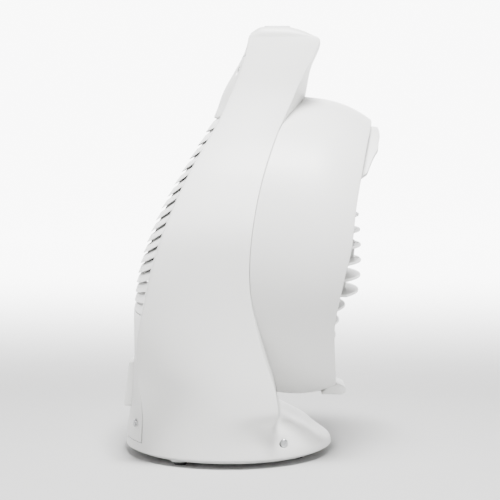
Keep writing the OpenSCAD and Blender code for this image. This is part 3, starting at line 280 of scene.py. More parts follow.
    def front_point(self, z, t, w=0):
        """Point on the front, from the front edge to the middle."""
        edge = curve(self.edge_x, z) - w
        middle = curve(self.front_x, z) - w
        cornered = (
            middle - (middle - edge) * (1 - t) ** 2,
            (curve(self.side_y, z) - w - 1) * (1 - t),
        )
        x, y = self.blend(z, self.oval(z, self.edge_angle * (1 - t), w), cornered, 2 + t)
        low, dip_depth, dip_half = self.low, 9, 34
        dip = dip_depth * smooth(low(0.07), low(0.12), z) * (1 - smooth(low(0.16), low(0.22), z))
        return x - dip * exp(-(y / dip_half) ** 2), y

    def around(self, z, t, w=0):
        """Point of the whole ring at height z, set in by w.

        t is 0 at the back's middle, 1 at a seam, 2 at a front edge and 3 in front.
        """
        side = 1 if t >= 0 else -1
        t = abs(t)
        if t <= 1:
            x, y = self.rear_point(z, t, w)
        elif t <= 2:
            x, y = self.side_point(z, t - 1, w)
        else:
            x, y = self.front_point(z, t - 2, w)
        return x, side * y

    def plan(self, z, inset, *counts):
        """Closed outline at height z, set in, with so many steps on the back, a side and the front."""
        half = [0]
        for k, count in enumerate(counts):
            half += steps(k, k + 1, count)[1:]
        return [self.around(z, t, inset) for t in [-t for t in reversed(half)] + half[1:-1]]

    def crown(self, x):
        """How far the rim falls from its top at x."""
        front_fall, front_start, front_run, back_fall = 7.2, 24, 22.5, 5
        front = front_fall * max((x - front_start) / front_run, 0) ** 1.6
        return front + back_fall * smooth(-7, 4, -x)

    def barrel_radius(self, s):
        """Outer radius of the barrel, s along the axis."""
        share = max(s - self.straight_l, 0) / (self.barrel_l - self.straight_l)
        return self.barrel_r - (self.barrel_r - self.mouth_r) * share**2.2

    def on_axis(self, s, radius, angle):
        """Point round the axis: angle 0 is down, a quarter turn is +Y."""
        return self.axis @ Vector((radius * cos(angle), radius * sin(angle), s))

    def along(self, radius, angle, line, s0=-60, s1=90):
        """How far along the axis a line of the barrel meets the surface x = line(z)."""
        for _ in range(40):
            middle = (s0 + s1) / 2
            r = radius(middle) if callable(radius) else radius
            point = self.on_axis(middle, r, angle)
            if point.x < line(point.z):
                s0 = middle
            else:
                s1 = middle
        return (s0 + s1) / 2

    def visor_line(self, z, back=0.0):
        """Front edge of the front ring in side view."""
        x, low = self.visor_x - back, self.visor_low
        if z < low - 4:
            return curve(self.rim_x, z) - 1.2 - back
        points = [
            (low - 4, curve(self.rim_x, low - 4) - 1.2 - back), (low, x - 12.5), (low + 14.7, x),
            (low + 23.7, x), (low + 29.7, x - 2.3), (self.up(0.8), x - 6),
        ]
        for (za, xa), (zb, xb) in zip(points, points[1:]):
            if z <= zb:
                return mix(xa, xb, (z - za) / (zb - za))
        return x - 6


# Mesh helpers: points go in as millimetres, meshes are in metres

def bent_grid(across, along, place, gap=None):
    """A grid whose vertex in column u and row v is moved to place(u, v), given lists of u and v.

    The cells whose middle gap(u, v) names are left out.
    """
    bm = bmesh.new()
    columns, rows = len(across) - 1, len(along) - 1
    bmesh.ops.create_grid(bm, x_segments=columns, y_segments=rows, size=0.5)
    if gap:
        left_out = []
        for face in bm.faces:
            middle = face.calc_center_median()
            i, j = int((middle.x + 0.5) * columns), int((middle.y + 0.5) * rows)
            if gap((across[i] + across[i + 1]) / 2, (along[j] + along[j + 1]) / 2):
                left_out.append(face)
        bmesh.ops.delete(bm, geom=left_out, context="FACES")
    for vert in bm.verts:
        i, j = round((vert.co.x + 0.5) * columns), round((vert.co.y + 0.5) * rows)
        vert.co = Vector(place(across[i], along[j])) * MM
    bmesh.ops.remove_doubles(bm, verts=bm.verts, dist=1e-6)
    return bm


def turned(profile, segments=96, closed=False):
    """The profile of (radius, height) points, turned once round Z."""
    bm = bmesh.new()
    verts = [bm.verts.new((r * MM, 0, z * MM)) for r, z in profile]
    edges = [bm.edges.new(pair) for pair in zip(verts, verts[1:])]
    if closed:
        edges.append(bm.edges.new((verts[-1], verts[0])))
    bmesh.ops.spin(
        bm, geom=verts + edges, cent=(0, 0, 0), axis=(0, 0, 1), angle=2 * pi, steps=segments, use_merge=True
    )
    bmesh.ops.remove_doubles(bm, verts=bm.verts, dist=1e-6)
    bmesh.ops.recalc_face_normals(bm, faces=bm.faces)
    return bm


def rod(radius, s0, s1, segments=64):
    """A round solid along Z from s0 to s1."""
    return turned([(0, s0), (radius, s0), (radius, s1), (0, s1)], segments)


def extruded(outline, height):
    """The outline of (x, y) points raised from z = 0 to the height."""
    bm = bmesh.new()
    face = bm.faces.new([bm.verts.new((x * MM, y * MM, 0)) for x, y in outline])
    raised = bmesh.ops.extrude_face_region(bm, geom=[face])["geom"]
    verts = [v for v in raised if isinstance(v, bmesh.types.BMVert)]
    bmesh.ops.translate(bm, vec=(0, 0, height * MM), verts=verts)
    bmesh.ops.recalc_face_normals(bm, faces=bm.faces)
    return bm


def block(x0, x1, y0, y1, z0, z1):
    """A box between the given planes."""
    bm = extruded([(x0, y0), (x1, y0), (x1, y1), (x0, y1)], z1 - z0)
    return moved(bm, Matrix.Translation((0, 0, z0)))


def side_slab(outline, y0, y1):
    """The outline of (x, z) points in side view, from y0 to y1."""
    bm = extruded([(x, -z) for x, z in outline], y1 - y0)
    return moved(bm, Matrix.Translation((0, y0, 0)) @ Matrix.Rotation(-pi / 2, 4, "X"))


def moved(bm, matrix):
    """The mesh moved by a matrix whose shift is in millimetres."""
    matrix = matrix.copy()
    matrix.translation *= MM
    bmesh.ops.transform(bm, matrix=matrix, verts=bm.verts)
    if matrix.determinant() < 0:
        bmesh.ops.reverse_faces(bm, faces=bm.faces)
    return bm


def joined(parts):
    """All the meshes in one."""
    whole = bmesh.new()
    for bm in parts:
        mesh = bpy.data.meshes.new("part")
        bm.to_mesh(mesh)
        bm.free()
        whole.from_mesh(mesh)
        bpy.data.meshes.remove(mesh)
    return whole


def rounded(bm, width, segments=3, sharper=35):
    """The mesh with its edges that are sharper than an angle bevelled."""
    edges = [e for e in bm.edges if e.is_manifold and e.calc_face_angle(0) > radians(sharper)]
    bmesh.ops.bevel(
        bm, geom=edges, offset=width * MM, offset_type="OFFSET", segments=segments, profile=0.5,
        affect="EDGES", material=-1, clamp_overlap=True,
    )
    return bm


def outward(bm, centre):
    """The open skin with its faces turned away from the centre."""
    centre = Vector(centre) * MM
    bmesh.ops.recalc_face_normals(bm, faces=bm.faces)
    if sum(f.normal.dot(f.calc_center_median() - centre) * f.calc_area() for f in bm.faces) < 0:
        bmesh.ops.reverse_faces(bm, faces=bm.faces)
    return bm


def capped(bm):
    """The mesh with its open ends filled."""
    bmesh.ops.holes_fill(bm, edges=[e for e in bm.edges if e.is_boundary], sides=0)
    bmesh.ops.recalc_face_normals(bm, faces=bm.faces)
    return bm


def piece(name, bm):
    """A new object that holds the mesh."""
    mesh = bpy.data.meshes.new(name)
    bm.to_mesh(mesh)
    bm.free()
    obj = bpy.data.objects.new(name, mesh)
    bpy.context.scene.collection.objects.link(obj)
    return obj


def settle(obj):
    """Applies the object's modifiers."""
    bpy.context.view_layer.update()
    graph = bpy.context.evaluated_depsgraph_get()
    mesh = bpy.data.meshes.new_from_object(obj.evaluated_get(graph), depsgraph=graph)
    old = obj.data
    obj.modifiers.clear()
    obj.data = mesh
    bpy.data.meshes.remove(old)
    mesh.name = obj.name
    return obj


def modified(obj, kind, **settings):
    """The object with one modifier applied."""
    modifier = obj.modifiers.new(kind.title(), kind)
    for key, value in settings.items():
        setattr(modifier, key, value)
    return settle(obj)


def thickened(obj, wall, even=True):
    """The skin as a wall of that thickness, inwards."""
    return modified(obj, "SOLIDIFY", thickness=wall * MM, offset=-1, use_even_offset=even)


def softened(obj, width, segments=3, sharper=35):
    """The object with its sharp edges rounded."""
    return modified(
        obj, "BEVEL", width=width * MM, segments=segments, limit_method="ANGLE",
        angle_limit=radians(sharper), profile=0.5, material=-1, use_clamp_overlap=True,
    )


def carved(obj, bm, operation="DIFFERENCE", solver="EXACT"):
    """The object cut by, or kept within, the solid in the mesh."""
    tool = piece("tool", bm)
    modified(obj, "BOOLEAN", object=tool, operation=operation, solver=solver)
    mesh = tool.data
    bpy.data.objects.remove(tool)
    bpy.data.meshes.remove(mesh)
    return obj


def placed(obj, finish, nodes=(), body="housing", angle=32):
    """The object with its finish, riding its body and standing for its CAD nodes."""
    if not obj.data.polygons:
        raise RuntimeError(f"{obj.name} has no faces")
    obj.data.materials.clear()
    obj.data.materials.append(FINISHES[finish])
    obj.data.shade_smooth()
    obj.data.set_sharp_from_angle(angle=radians(angle))
    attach(obj, body)
    if nodes:
        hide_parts(*nodes)
    return obj


# Materials

FINISHES = {}


class Wire:
    """A socket that sums can be written with: each sum adds a Math node"""

    def __init__(self, maker, socket):
        self.maker, self.socket = maker, socket

    def sum(self, operation, *values):
        settings = {"operation": operation}
        return self.maker.node("ShaderNodeMath", settings, {i: v for i, v in enumerate(values)})

    def __add__(self, other):
        return self.sum("ADD", self, other)

    def __sub__(self, other):
        return self.sum("SUBTRACT", self, other)

    def __rsub__(self, other):
        return self.sum("SUBTRACT", other, self)

    def __mul__(self, other):
        return self.sum("MULTIPLY", self, other)

    __radd__, __rmul__ = __add__, __mul__

    def wave(self):
        """Sine of the value."""
        return self.sum("SINE", self)

    def step(self, low, high):
        """Smooth step from 0 at low to 1 at high."""
        return self.maker.node(
            "ShaderNodeMapRange", {"interpolation_type": "SMOOTHSTEP"},
            {"Value": self, "From Min": low, "From Max": high},
        )


class Finish:
    """A procedural material in the making"""

    def __init__(self, name):
        self.material = bpy.data.materials.new(name)
        self.material.use_nodes = True
        self.tree = self.material.node_tree
        self.tree.nodes.clear()
        self.place = self.node("ShaderNodeTexCoord", out="Object")
        FINISHES[name] = self.material

    def node(self, kind, settings=None, inputs=None, out=0):
        """Adds a node: its settings first, then the values or links of its sockets."""
        node = self.tree.nodes.new(kind)
        for key, value in (settings or {}).items():
            if key == "stops":
                ramp = node.color_ramp
                while len(ramp.elements) < len(value):
                    ramp.elements.new(0.5)
                for element, (position, shade) in zip(ramp.elements, value):
                    element.position, element.color = position, (*shade, 1)
            else:
                setattr(node, key, value)
        for key, value in (inputs or {}).items():
            if isinstance(value, Wire):
                self.tree.links.new(value.socket, node.inputs[key])
            elif value is not None:
                node.inputs[key].default_value = value
        return Wire(self, node.outputs[out]) if node.outputs else Wire(self, None)

    def noise(self, scale, detail=2.0, rough=0.5, place=None, stretch=None):
        """Noise from 0 to 1, with the scale in features a metre."""
        place = place or self.place
        if stretch:
            place = self.node("ShaderNodeMapping", None, {"Vector": place, "Scale": stretch})
        return self.node(
            "ShaderNodeTexNoise", None,
            {"Vector": place, "Scale": scale, "Detail": detail, "Roughness": rough},
        )

    def blend(self, a, b, share):
        """Colour between a and b."""
        rgba = [v if isinstance(v, Wire) else (*v, 1) for v in (a, b)]
        return self.node(
            "ShaderNodeMix", {"data_type": "RGBA"}, {0: share, 6: rgba[0], 7: rgba[1]}, out=2
        )

    def axes(self, place=None):
        """The three coordinates as values."""
        split = self.tree.nodes.new("ShaderNodeSeparateXYZ")
        self.tree.links.new((place or self.place).socket, split.inputs[0])
        return [Wire(self, s) for s in split.outputs]

    def bump(self, height, strength, distance, normal=None):
        """Normal from a height."""
        return self.node(
            "ShaderNodeBump", None,
            {"Height": height, "Strength": strength, "Distance": distance, "Normal": normal},
        )

    def shade(self, **sockets):
        """Ends the material in its shader."""
        names = {key.replace("_", " ").title().replace("Ior", "IOR"): v for key, v in sockets.items()}
        for key, value in names.items():
            if isinstance(value, tuple) and len(value) == 3:
                names[key] = (*value, 1)
        shader = self.node("ShaderNodeBsdfPrincipled", None, names)
        self.node("ShaderNodeOutputMaterial", None, {"Surface": shader})


def darker(shade, share):
    """The colour times a share."""
    return tuple(min(c * share, 1) for c in shade)


def moulded(name, shade, rough=0.4, grain=1500, depth=0.00004, variation=0.05, coat=0.0):
    """Moulded plastic: a fine eroded grain, faint flow clouds and rub marks."""
    f = Finish(name)
    cloud = f.noise(14, 3)
    flow = f.noise(60, 4, 0.6, stretch=(0.4, 1, 1))
    grit = f.noise(grain, 3, 0.6)
    pits = f.noise(grain * 0.45, 2, 0.5)
    rubs = f.noise(240, 5, 0.65, stretch=(1, 0.15, 0.3)).step(0.56, 0.72)
    tone = cloud * 0.6 + flow * 0.4
    base = f.blend(darker(shade, 1 - variation), darker(shade, 1 + variation), tone)
    gloss = rough - 0.05 + flow * 0.08 + rubs * 0.05 + grit * 0.04
    height = grit * 0.6 + pits * 0.4
    f.shade(
        base_color=base, roughness=gloss, normal=f.bump(height, 0.35, depth), ior=1.5,
        coat_weight=coat,
    )


def rubbery(name, shade):
    """Rubber with dusty patches and a pebbled skin."""
    f = Finish(name)
    dust = f.noise(90, 4, 0.65).step(0.45, 0.7)
    pebble = f.noise(1300, 3)
    base = f.blend(shade, darker((0.09, 0.088, 0.085), 1), dust * 0.35)
    f.shade(base_color=base, roughness=0.62 + dust * 0.2, normal=f.bump(pebble, 0.5, 0.00008))


def metal(name, shade, rough=0.3, stretch=(1, 1, 1), streaks=900, stain=0.25):
    """Bare metal with drawn streaks and dull patches."""
    f = Finish(name)
    lines = f.noise(streaks, 4, 0.7, stretch=stretch)
    patches = f.noise(55, 4, 0.6)
    dull = patches.step(0.42, 0.72)
    base = f.blend(shade, darker(shade, 0.72), dull * stain + lines * 0.15)
    f.shade(
        base_color=base, metallic=1.0, roughness=rough - 0.06 + dull * 0.14 + lines * 0.12,
        normal=f.bump(lines, 0.25, 0.00003),
    )


def banded(name, light, dark, pitch, direction, metallic=0.8, rough=0.4):
    """Thin layers side by side, such as laminations or the turns of a winding."""
    f = Finish(name)
    where = f.node("ShaderNodeVectorMath", {"operation": "DOT_PRODUCT"}, {0: f.place, 1: direction}, out=1)
    ridge = (where * (2 * pi / pitch)).wave() * 0.5 + 0.5
    grime = f.noise(180, 4, 0.6)
    base = f.blend(dark, light, ridge * 0.7 + grime * 0.3)
    f.shade(
        base_color=base, metallic=metallic, roughness=rough + grime * 0.15,
        normal=f.bump(ridge, 0.6, 0.0001),
    )


def make_finishes(colours):
    """Every finish of the heater."""
    FINISHES.clear()
    moulded("white_plastic", tuple(colours.white), 0.42, 1500, 0.00004, 0.025)
    moulded("grey_plastic", tuple(colours.grey), 0.46, 1300, 0.00005, 0.03)
    moulded("knob_plastic", tuple(colours.knob), 0.38, 1600, 0.00003, 0.03)
    moulded("base_plastic", tuple(colours.base), 0.5, 1200, 0.00006, 0.04)
    moulded("heat_plastic", tuple(colours.heat), 0.55, 1000, 0.00006, 0.05)
    moulded("dark_plastic", tuple(colours.dark), 0.42, 1400, 0.00005, 0.1)
    moulded("lead_insulation", tuple(colours.lead), 0.4, 900, 0.00003, 0.1)
    rubbery("rubber", tuple(colours.rubber))
    steel = tuple(colours.steel)
    metal("steel_wire", steel, 0.28, (1, 1, 1), 700, 0.2)
    metal("screw_steel", darker(steel, 0.9), 0.3, (0.3, 1, 1), 1500, 0.3)
    metal("sheet_metal", darker(steel, 1.05), 0.34, (0.08, 1, 1), 1200, 0.2)
    metal("bronze", (0.52, 0.34, 0.16), 0.45, (1, 1, 1), 2200, 0.5)
    moulded("painted_steel", (0.10, 0.10, 0.105), 0.5, 500, 0.00008, 0.12)
    axis = (cos(radians(7)), 0, -sin(radians(7)))
    banded("motor_core", (0.34, 0.34, 0.35), (0.12, 0.12, 0.125), 0.0007, axis)
    copper = tuple(colours.copper)
    banded("copper_wire", copper, darker(copper, 0.45), 0.0004, axis, 0.9, 0.3)
    banded("heating_strip", (0.62, 0.61, 0.58), (0.30, 0.29, 0.27), 0.0016, (0, 1, 0), 0.85, 0.42)
    f = Finish("lamp_lens")
    ripple = f.noise(700, 2)
    lamp = tuple(colours.lamp)
    glow = f.blend(lamp, darker(lamp, 0.6), ripple)
    f.shade(
        base_color=glow, roughness=0.12 + ripple * 0.06, normal=f.bump(ripple, 0.3, 0.00005),
        transmission_weight=0.25, emission_color=glow, emission_strength=0.15,
    )
    f = Finish("dial_ink")
    wear = f.noise(900, 4, 0.6)
    f.shade(
        base_color=f.blend((0.05, 0.05, 0.055), (0.11, 0.11, 0.115), wear), roughness=0.45 + wear * 0.15,
        normal=f.bump(wear, 0.2, 0.00002),
    )
    # Painted light: the floor and backdrop emit light of their own. The glow is brightest on the backdrop
    # behind the heater, faint further out, and almost none within 0.35 m of the heater.
    f = Finish("backdrop")
    paper = f.noise(40, 4)
    floor, (x, y, _) = tuple(colours.floor), f.axes()
    far = f.node("ShaderNodeVectorMath", {"operation": "LENGTH"}, {0: f.place}, out=1)
    behind = y.step(0.3, 2.2) * (1 - (x * x).step(1.0, 5.0))
    glow = far.step(0.35, 1.8) * 0.14 + behind * 0.86
    f.shade(
        base_color=f.blend(floor, darker(floor, 0.985), paper),
        roughness=0.75 + paper * 0.1, specular_ior_level=0.2,
        emission_color=f.blend((0, 0, 0), (1, 1, 1), glow), emission_strength=8.0,
    )


# The shell and its covers

def shell_piece(form):
    """The two swept sides, the neck and the foot as one moulding."""
    low, crest_z, rim_wall, below_deck = form.low, form.up(0.955), 5.2, 2.6
    heights = (
        steps(form.rim_h, form.cover_foot, 6) + steps(form.cover_foot, low(0.24), 26)[1:]
        + steps(low(0.24), low(0.42), 12)[1:] + steps(low(0.42), form.cover_top, 66)[1:]
        + steps(form.cover_top, form.up(0.94), 8)[1:] + steps(form.up(0.94), crest_z, 3)[1:]
    )
    rim = steps(0, pi / 2, 8)[1:]
    inner = [z for z in reversed(heights) if z < form.deck_h - 6]
    rows = len(heights) + len(rim) + 1 + len(inner) + 1
    half = steps(0, 1, 16) + steps(1, 2, 34)[1:] + steps(2, 3, 40)[1:]
    around = [-t for t in reversed(half)] + half[1:]

    def beside_cover(z):
        return form.cover_foot - 0.1 < z < form.cover_top + 0.1

    def place(t, row):
        row %= rows - 1
        if row < len(heights):
            return *form.around(heights[row], t), heights[row]
        row -= len(heights)
        edge = Vector(form.around(form.up(0.97), t, rim_wall))
        if row < len(rim):
            x, y = Vector(form.around(crest_z, t)).lerp(edge, 1 - cos(rim[row]))
            return x, y, mix(crest_z, form.body_h - form.crown(x), sin(rim[row]))
        if row == len(rim):
            return *edge, form.deck_h - below_deck
        z = inner[row - len(rim) - 1]
        x, y = form.around(z, t, form.wall)
        if abs(t) == 1 and beside_cover(z):
            x = form.around(z, t, 0)[0]
        return x, y, z

    def behind(t, row):
        return abs(t) < 1 and all(beside_cover(place(0, r)[2]) for r in (int(row), int(row) + 1))

    bm = bent_grid(around, list(range(rows)), place, behind)
    bmesh.ops.bridge_loops(bm, edges=[e for e in bm.edges if e.is_boundary])
    bmesh.ops.recalc_face_normals(bm, faces=bm.faces)
    if bm.calc_volume(signed=True) < 0:
        bmesh.ops.reverse_faces(bm, faces=bm.faces)
    return softened(piece("housing_shell", bm), 0.6, 3, 33)


def root_line(form, offset=0.0):
    """Surface in side view that the barrel's back lies along."""
    return lambda z: curve(form.edge_x, z) + offset


def outlet_cut(form):
    """Solid that the outlet takes out of the shell: a rod on the axis, ahead of the side's edge."""
    ahead, half, bottom, top = 130, 150, form.low(0.15), form.up(0.8)
    line = root_line(form)
    outline = [(line(z), z) for z in steps(bottom, top, 60)] + [(ahead, top), (ahead, bottom)]
    cylinder = piece("outlet_tool", moved(rod(form.barrel_r + form.seam, -60, 100, 180), form.axis))
    return mesh_of(carved(cylinder, side_slab(outline, -half, half), "INTERSECT"))


class HEATER_OT_shell(bpy.types.Operator):
    """Build the moulded shell with its foot, its neck and the recess for the controls"""

    bl_idname = "heater.shell"
    bl_label = "Shell"

    def execute(self, context):
        form = Form(context.scene.heater_sizes)
        obj = shell_piece(form)
        duct_room, dimple_r, floor, end = form.fan_r + 6.6, 3.24, 2, 9
        carved(obj, outlet_cut(form))
        carved(obj, moved(rod(duct_room, -56, 60, 120), form.axis))
        profile = [(0, -20), (dimple_r, -20), (dimple_r, floor), (HOLE_R, floor), (HOLE_R, end), (0, end)]
        for x, y, z in side_screw_places(form):
            turn = Matrix.Rotation(pi / 2 if y > 0 else -pi / 2, 4, "X")
            carved(obj, moved(turned(profile, 40), Matrix.Translation((x, y, z)) @ turn))
        placed(obj, "white_plastic", ["main_shell"], angle=30)
        return {"FINISHED"}


class HEATER_OT_barrel(bpy.types.Operator):
    """Build the round outlet barrel with its swept front edge"""

    bl_idname = "heater.barrel"
    bl_label = "Outlet barrel"

    def execute(self, context):
        form = Form(context.scene.heater_sizes)
        root, rim = root_line(form, form.seam), lambda z: curve(form.rim_x, z)
        ends = {}
        for angle in steps(-pi, pi, 240):
            back = form.along(form.barrel_radius, angle, root, -60, 40)
            front = min(form.along(form.barrel_radius, angle, rim, 0, 80), form.barrel_l)
            ends[angle] = (back, front)

        def place(angle, share):
            back, front = ends[angle]
            s = mix(back, front, share)
            return form.on_axis(s, form.barrel_radius(s), angle)

        bm = bent_grid(list(ends), steps(0, 1, 36), place)
        obj = piece("outlet_barrel_skin", outward(bm, form.on_axis(0, 0, 0)))
        thickened(obj, COVER_WALL)
        softened(obj, 0.7, 3, 40)

        def behind(angle, radius):
            return form.on_axis(form.along(radius, angle, root, -60, 40), radius, angle)

        radii = steps(form.fan_r + 7, form.barrel_r - 1.5, 6)
        back = outward(bent_grid(list(ends), radii, behind), form.on_axis(200, 0, 0))
        back = thickened(piece("barrel_back", back), COVER_WALL, even=False)
        merge_into(obj, mesh_of(back))
        placed(obj, "white_plastic", ["outlet_barrel"])
        return {"FINISHED"}


class HEATER_OT_front_ring(bpy.types.Operator):
    """Build the ring inside the barrel's mouth, its visor above and its tab below"""

    bl_idname = "heater.front_ring"
    bl_label = "Front ring"

    def execute(self, context):
        form = Form(context.scene.heater_sizes)
        flare, lip_front, lip_r, tab_half, tab_drop = 3.2, RING_BACK + 2.5, 84, 23, 15.5
        skin = cut_tube(form, form.ring_r, RING_BACK, form.visor_line, flare=flare)
        ring = piece("front_ring_trim", skin)
        thickened(ring, RING_WALL)
        softened(ring, 0.6, 3, 40)
        seat = form.barrel_radius(lip_front) - COVER_WALL - form.seam
        lip = [(lip_r, RING_BACK), (seat, RING_BACK), (seat, lip_front), (lip_r, lip_front)]
        lip = moved(rounded(turned(lip, 180, closed=True), 0.4, 2), form.axis)
        foot_z = form.axis_h - form.ring_r * cos(form.tilt) - 30 * sin(form.tilt) - tab_drop
        x = curve(form.rim_x, form.low(0.36))
        outline = [
            (x - 10.5, foot_z), (x + 5.5, foot_z), (x + 8.5, foot_z + 2.5), (x + 7.5, foot_z + 6),
            (x, foot_z + 9), (x - 1, foot_z + 16), (x - 4, foot_z + 16), (x - 4, foot_z + 8),
        ]
        tab = piece("tab", rounded(side_slab(outline, -tab_half, tab_half), 1.4, 4))
        carved(tab, copy_of(bpy.data.objects["outlet_barrel_skin"]))
        carved(tab, moved(rod(form.ring_r - RING_WALL, 10, 100, 180), form.axis))
        merge_into(ring, lip, mesh_of(tab))
        placed(ring, "white_plastic", ["front_ring"])
        return {"FINISHED"}


def cut_tube(form, radius, s0, line, s_top=90, flare=0.0):
    """Skin of a tube round the axis, from s0 to the surface x = line(z), flared at its top."""
    ends, above = {}, {}
    for a in steps(-pi, pi, 360):
        above[a] = smooth(0.6, 0.95, -cos(a))
        end = min(form.along(radius, a, line, s0, 90), s_top)
        ends[a] = end - (bow(200, radius * sin(a)) * above[a] if flare else 0)

    def place(a, share):
        s = mix(s0, ends[a], share)
        return form.on_axis(s, radius + flare * above[a] * smooth(s0 + 8, s0 + 20, s), a)

    bm = bent_grid(list(ends), steps(0, 1, 16), place)
    return outward(bm, form.on_axis(30, 0, 0))


def copy_of(obj):
    """A copy of the object's mesh."""
    bm = bmesh.new()
    bm.from_mesh(obj.data)
    return bm


def mesh_of(obj):
    """The mesh of an object that isn't needed any more."""
    bm, mesh = copy_of(obj), obj.data
    bpy.data.objects.remove(obj)
    bpy.data.meshes.remove(mesh)
    return bm


def merge_into(obj, *parts):
    """Adds meshes to the object's own."""
    whole = joined([copy_of(obj), *parts])
    whole.to_mesh(obj.data)
    whole.free()
    return obj


def bow(radius, y):
    """How far an arc falls back at y from its middle."""
    return radius - sqrt(radius * radius - y * y)


class HEATER_OT_grille(bpy.types.Operator):
    """Build the grille's bowed fins, its struts, its ring and the round cap"""

    bl_idname = "heater.grille"
    bl_label = "Grille"

    guard_top = 28.3
    fin_bow = 284
    strut_half = 1
    strut_deep = 6

    def guard_x(self, form, z):
        """Plane of the guard's front at height z."""
        return form.axis_x + (self.guard_top + (z - form.axis_h) * sin(form.tilt)) / cos(form.tilt)

    def bar_half(self, form, x, z):
        """Half length of a level bar that ends in the grille's ring."""
        high = abs((x - form.axis_x) * sin(form.tilt) + (z - form.axis_h) * cos(form.tilt))
        return sqrt(max(self.bar_r**2 - (high + form.fin_t / 2) ** 2, 1))

    def fin(self, form, z):
        """One fin, its front edge on the dome."""
        front = curve(form.dome_x, z)
        middle = front - form.fin_depth / 2
        half = self.bar_half(form, middle - bow(self.fin_bow, self.bar_half(form, middle, z)), z)
        back = self.guard_x(form, z + form.fin_t)
        inner = self.fin_bow - form.fin_depth
        ys = steps(-half, half, 40)
        outline = [(front - bow(self.fin_bow, y), y) for y in ys]
        outline += [(max(front - form.fin_depth - bow(inner, y), back), y) for y in reversed(ys)]
        bm = rounded(extruded(outline, form.fin_t), 0.55, 3, 45)
        return moved(bm, Matrix.Translation((0, 0, z - form.fin_t / 2)))

    def strut(self, form, y):
        """One upright strut behind the fins."""
        reach = sqrt(self.bar_r**2 - (abs(y) + self.strut_half) ** 2) * cos(form.tilt)
        middle = form.axis_h - (self.guard_top + self.strut_deep) * sin(form.tilt)
        heights = steps(middle - reach, middle + reach, 30)

        def back(z):
            line = curve(form.dome_x, z) - form.fin_depth - bow(self.fin_bow, y) - 2
            return max(line, self.guard_x(form, z + form.fin_t))

        outline = [(back(z) + 4, z) for z in heights] + [(back(z), z) for z in reversed(heights)]
        return rounded(side_slab(outline, y - self.strut_half, y + self.strut_half), 0.4, 2, 45)

    def execute(self, context):
        form = Form(context.scene.heater_sizes)
        radius, wall, cap_back, boss_back = form.ring_r - RING_WALL - form.seam, 2.2, 40, 34
        self.bar_r = radius - wall / 2
        middle = form.axis_h - (self.guard_top + self.strut_deep) * sin(form.tilt)
        reach = self.bar_r * cos(form.tilt)
        first = -int((form.grille_z - middle + reach) / form.fin_pitch)
        last = int((middle + reach - form.grille_z) / form.fin_pitch)
        fins = {k: self.fin(form, form.grille_z + k * form.fin_pitch) for k in range(first, last + 1)}
        crossed = piece("crossed_fins", joined([fins.pop(k) for k in (0, 1)]))
        carved(crossed, moved(rod(form.cap_r + form.seam, cap_back, 90), form.axis))
        skin = cut_tube(
            form, radius, self.guard_top, lambda z: form.visor_line(z, 2), self.guard_top + 14
        )
        grille = thickened(piece("grille_fins", skin), wall)
        softened(grille, 0.5, 3, 40)
        boss = moved(rod(form.cap_r, boss_back, cap_back - 0.2), form.axis)
        struts = [self.strut(form, y) for y in (-44, 0, 44)]
        merge_into(grille, mesh_of(crossed), boss, *fins.values(), *struts)
        placed(grille, "white_plastic", ["front_grille"])
        r = form.cap_r
        profile = [(0, cap_back), (r - 0.4, cap_back), (r, cap_back + 0.4), (r, 45.4)]
        profile += [(r - 1.5 + 1.5 * cos(a), 45.4 + 1.3 * sin(a)) for a in steps(0, pi / 2, 6)[1:]]
        profile += [((r - 1.5) * (1 - t), 46.7 + 0.5 * sin(t * pi / 2)) for t in steps(0, 1, 6)[1:]]
        cap = piece("grille_cap_dome", moved(turned(profile, 64), form.axis))
        placed(cap, "white_plastic", ["grille_cap"])
        return {"FINISHED"}


class HEATER_OT_guard(bpy.types.Operator):
    """Build the wire safety guard behind the fins"""

    bl_idname = "heater.guard"
    bl_label = "Safety guard"

    def execute(self, context):
        form = Form(context.scene.heater_sizes)
        wire, s = form.guard_t / 2, 27.4
        room = form.ring_r - RING_WALL
        outer = room - 0.2 - wire
        circle = [(wire * cos(a), wire * sin(a)) for a in steps(0, 2 * pi, 8)[:-1]]
        parts = []
        while outer > 5:
            parts.append(turned([(outer + x, s + z) for x, z in circle], 96, closed=True))
            outer -= form.guard_pitch
        long = room - 0.7
        for k in range(4):
            spoke = rod(wire, -long, long, 8)
            turn = Matrix.Rotation(k * pi / 4, 4, "Z") @ Matrix.Rotation(pi / 2, 4, "Y")
            parts.append(moved(spoke, Matrix.Translation((0, 0, s)) @ turn))
        guard = piece("guard_wires", moved(joined(parts), form.axis))
        placed(guard, "steel_wire", ["safety_guard"], angle=50)
        return {"FINISHED"}


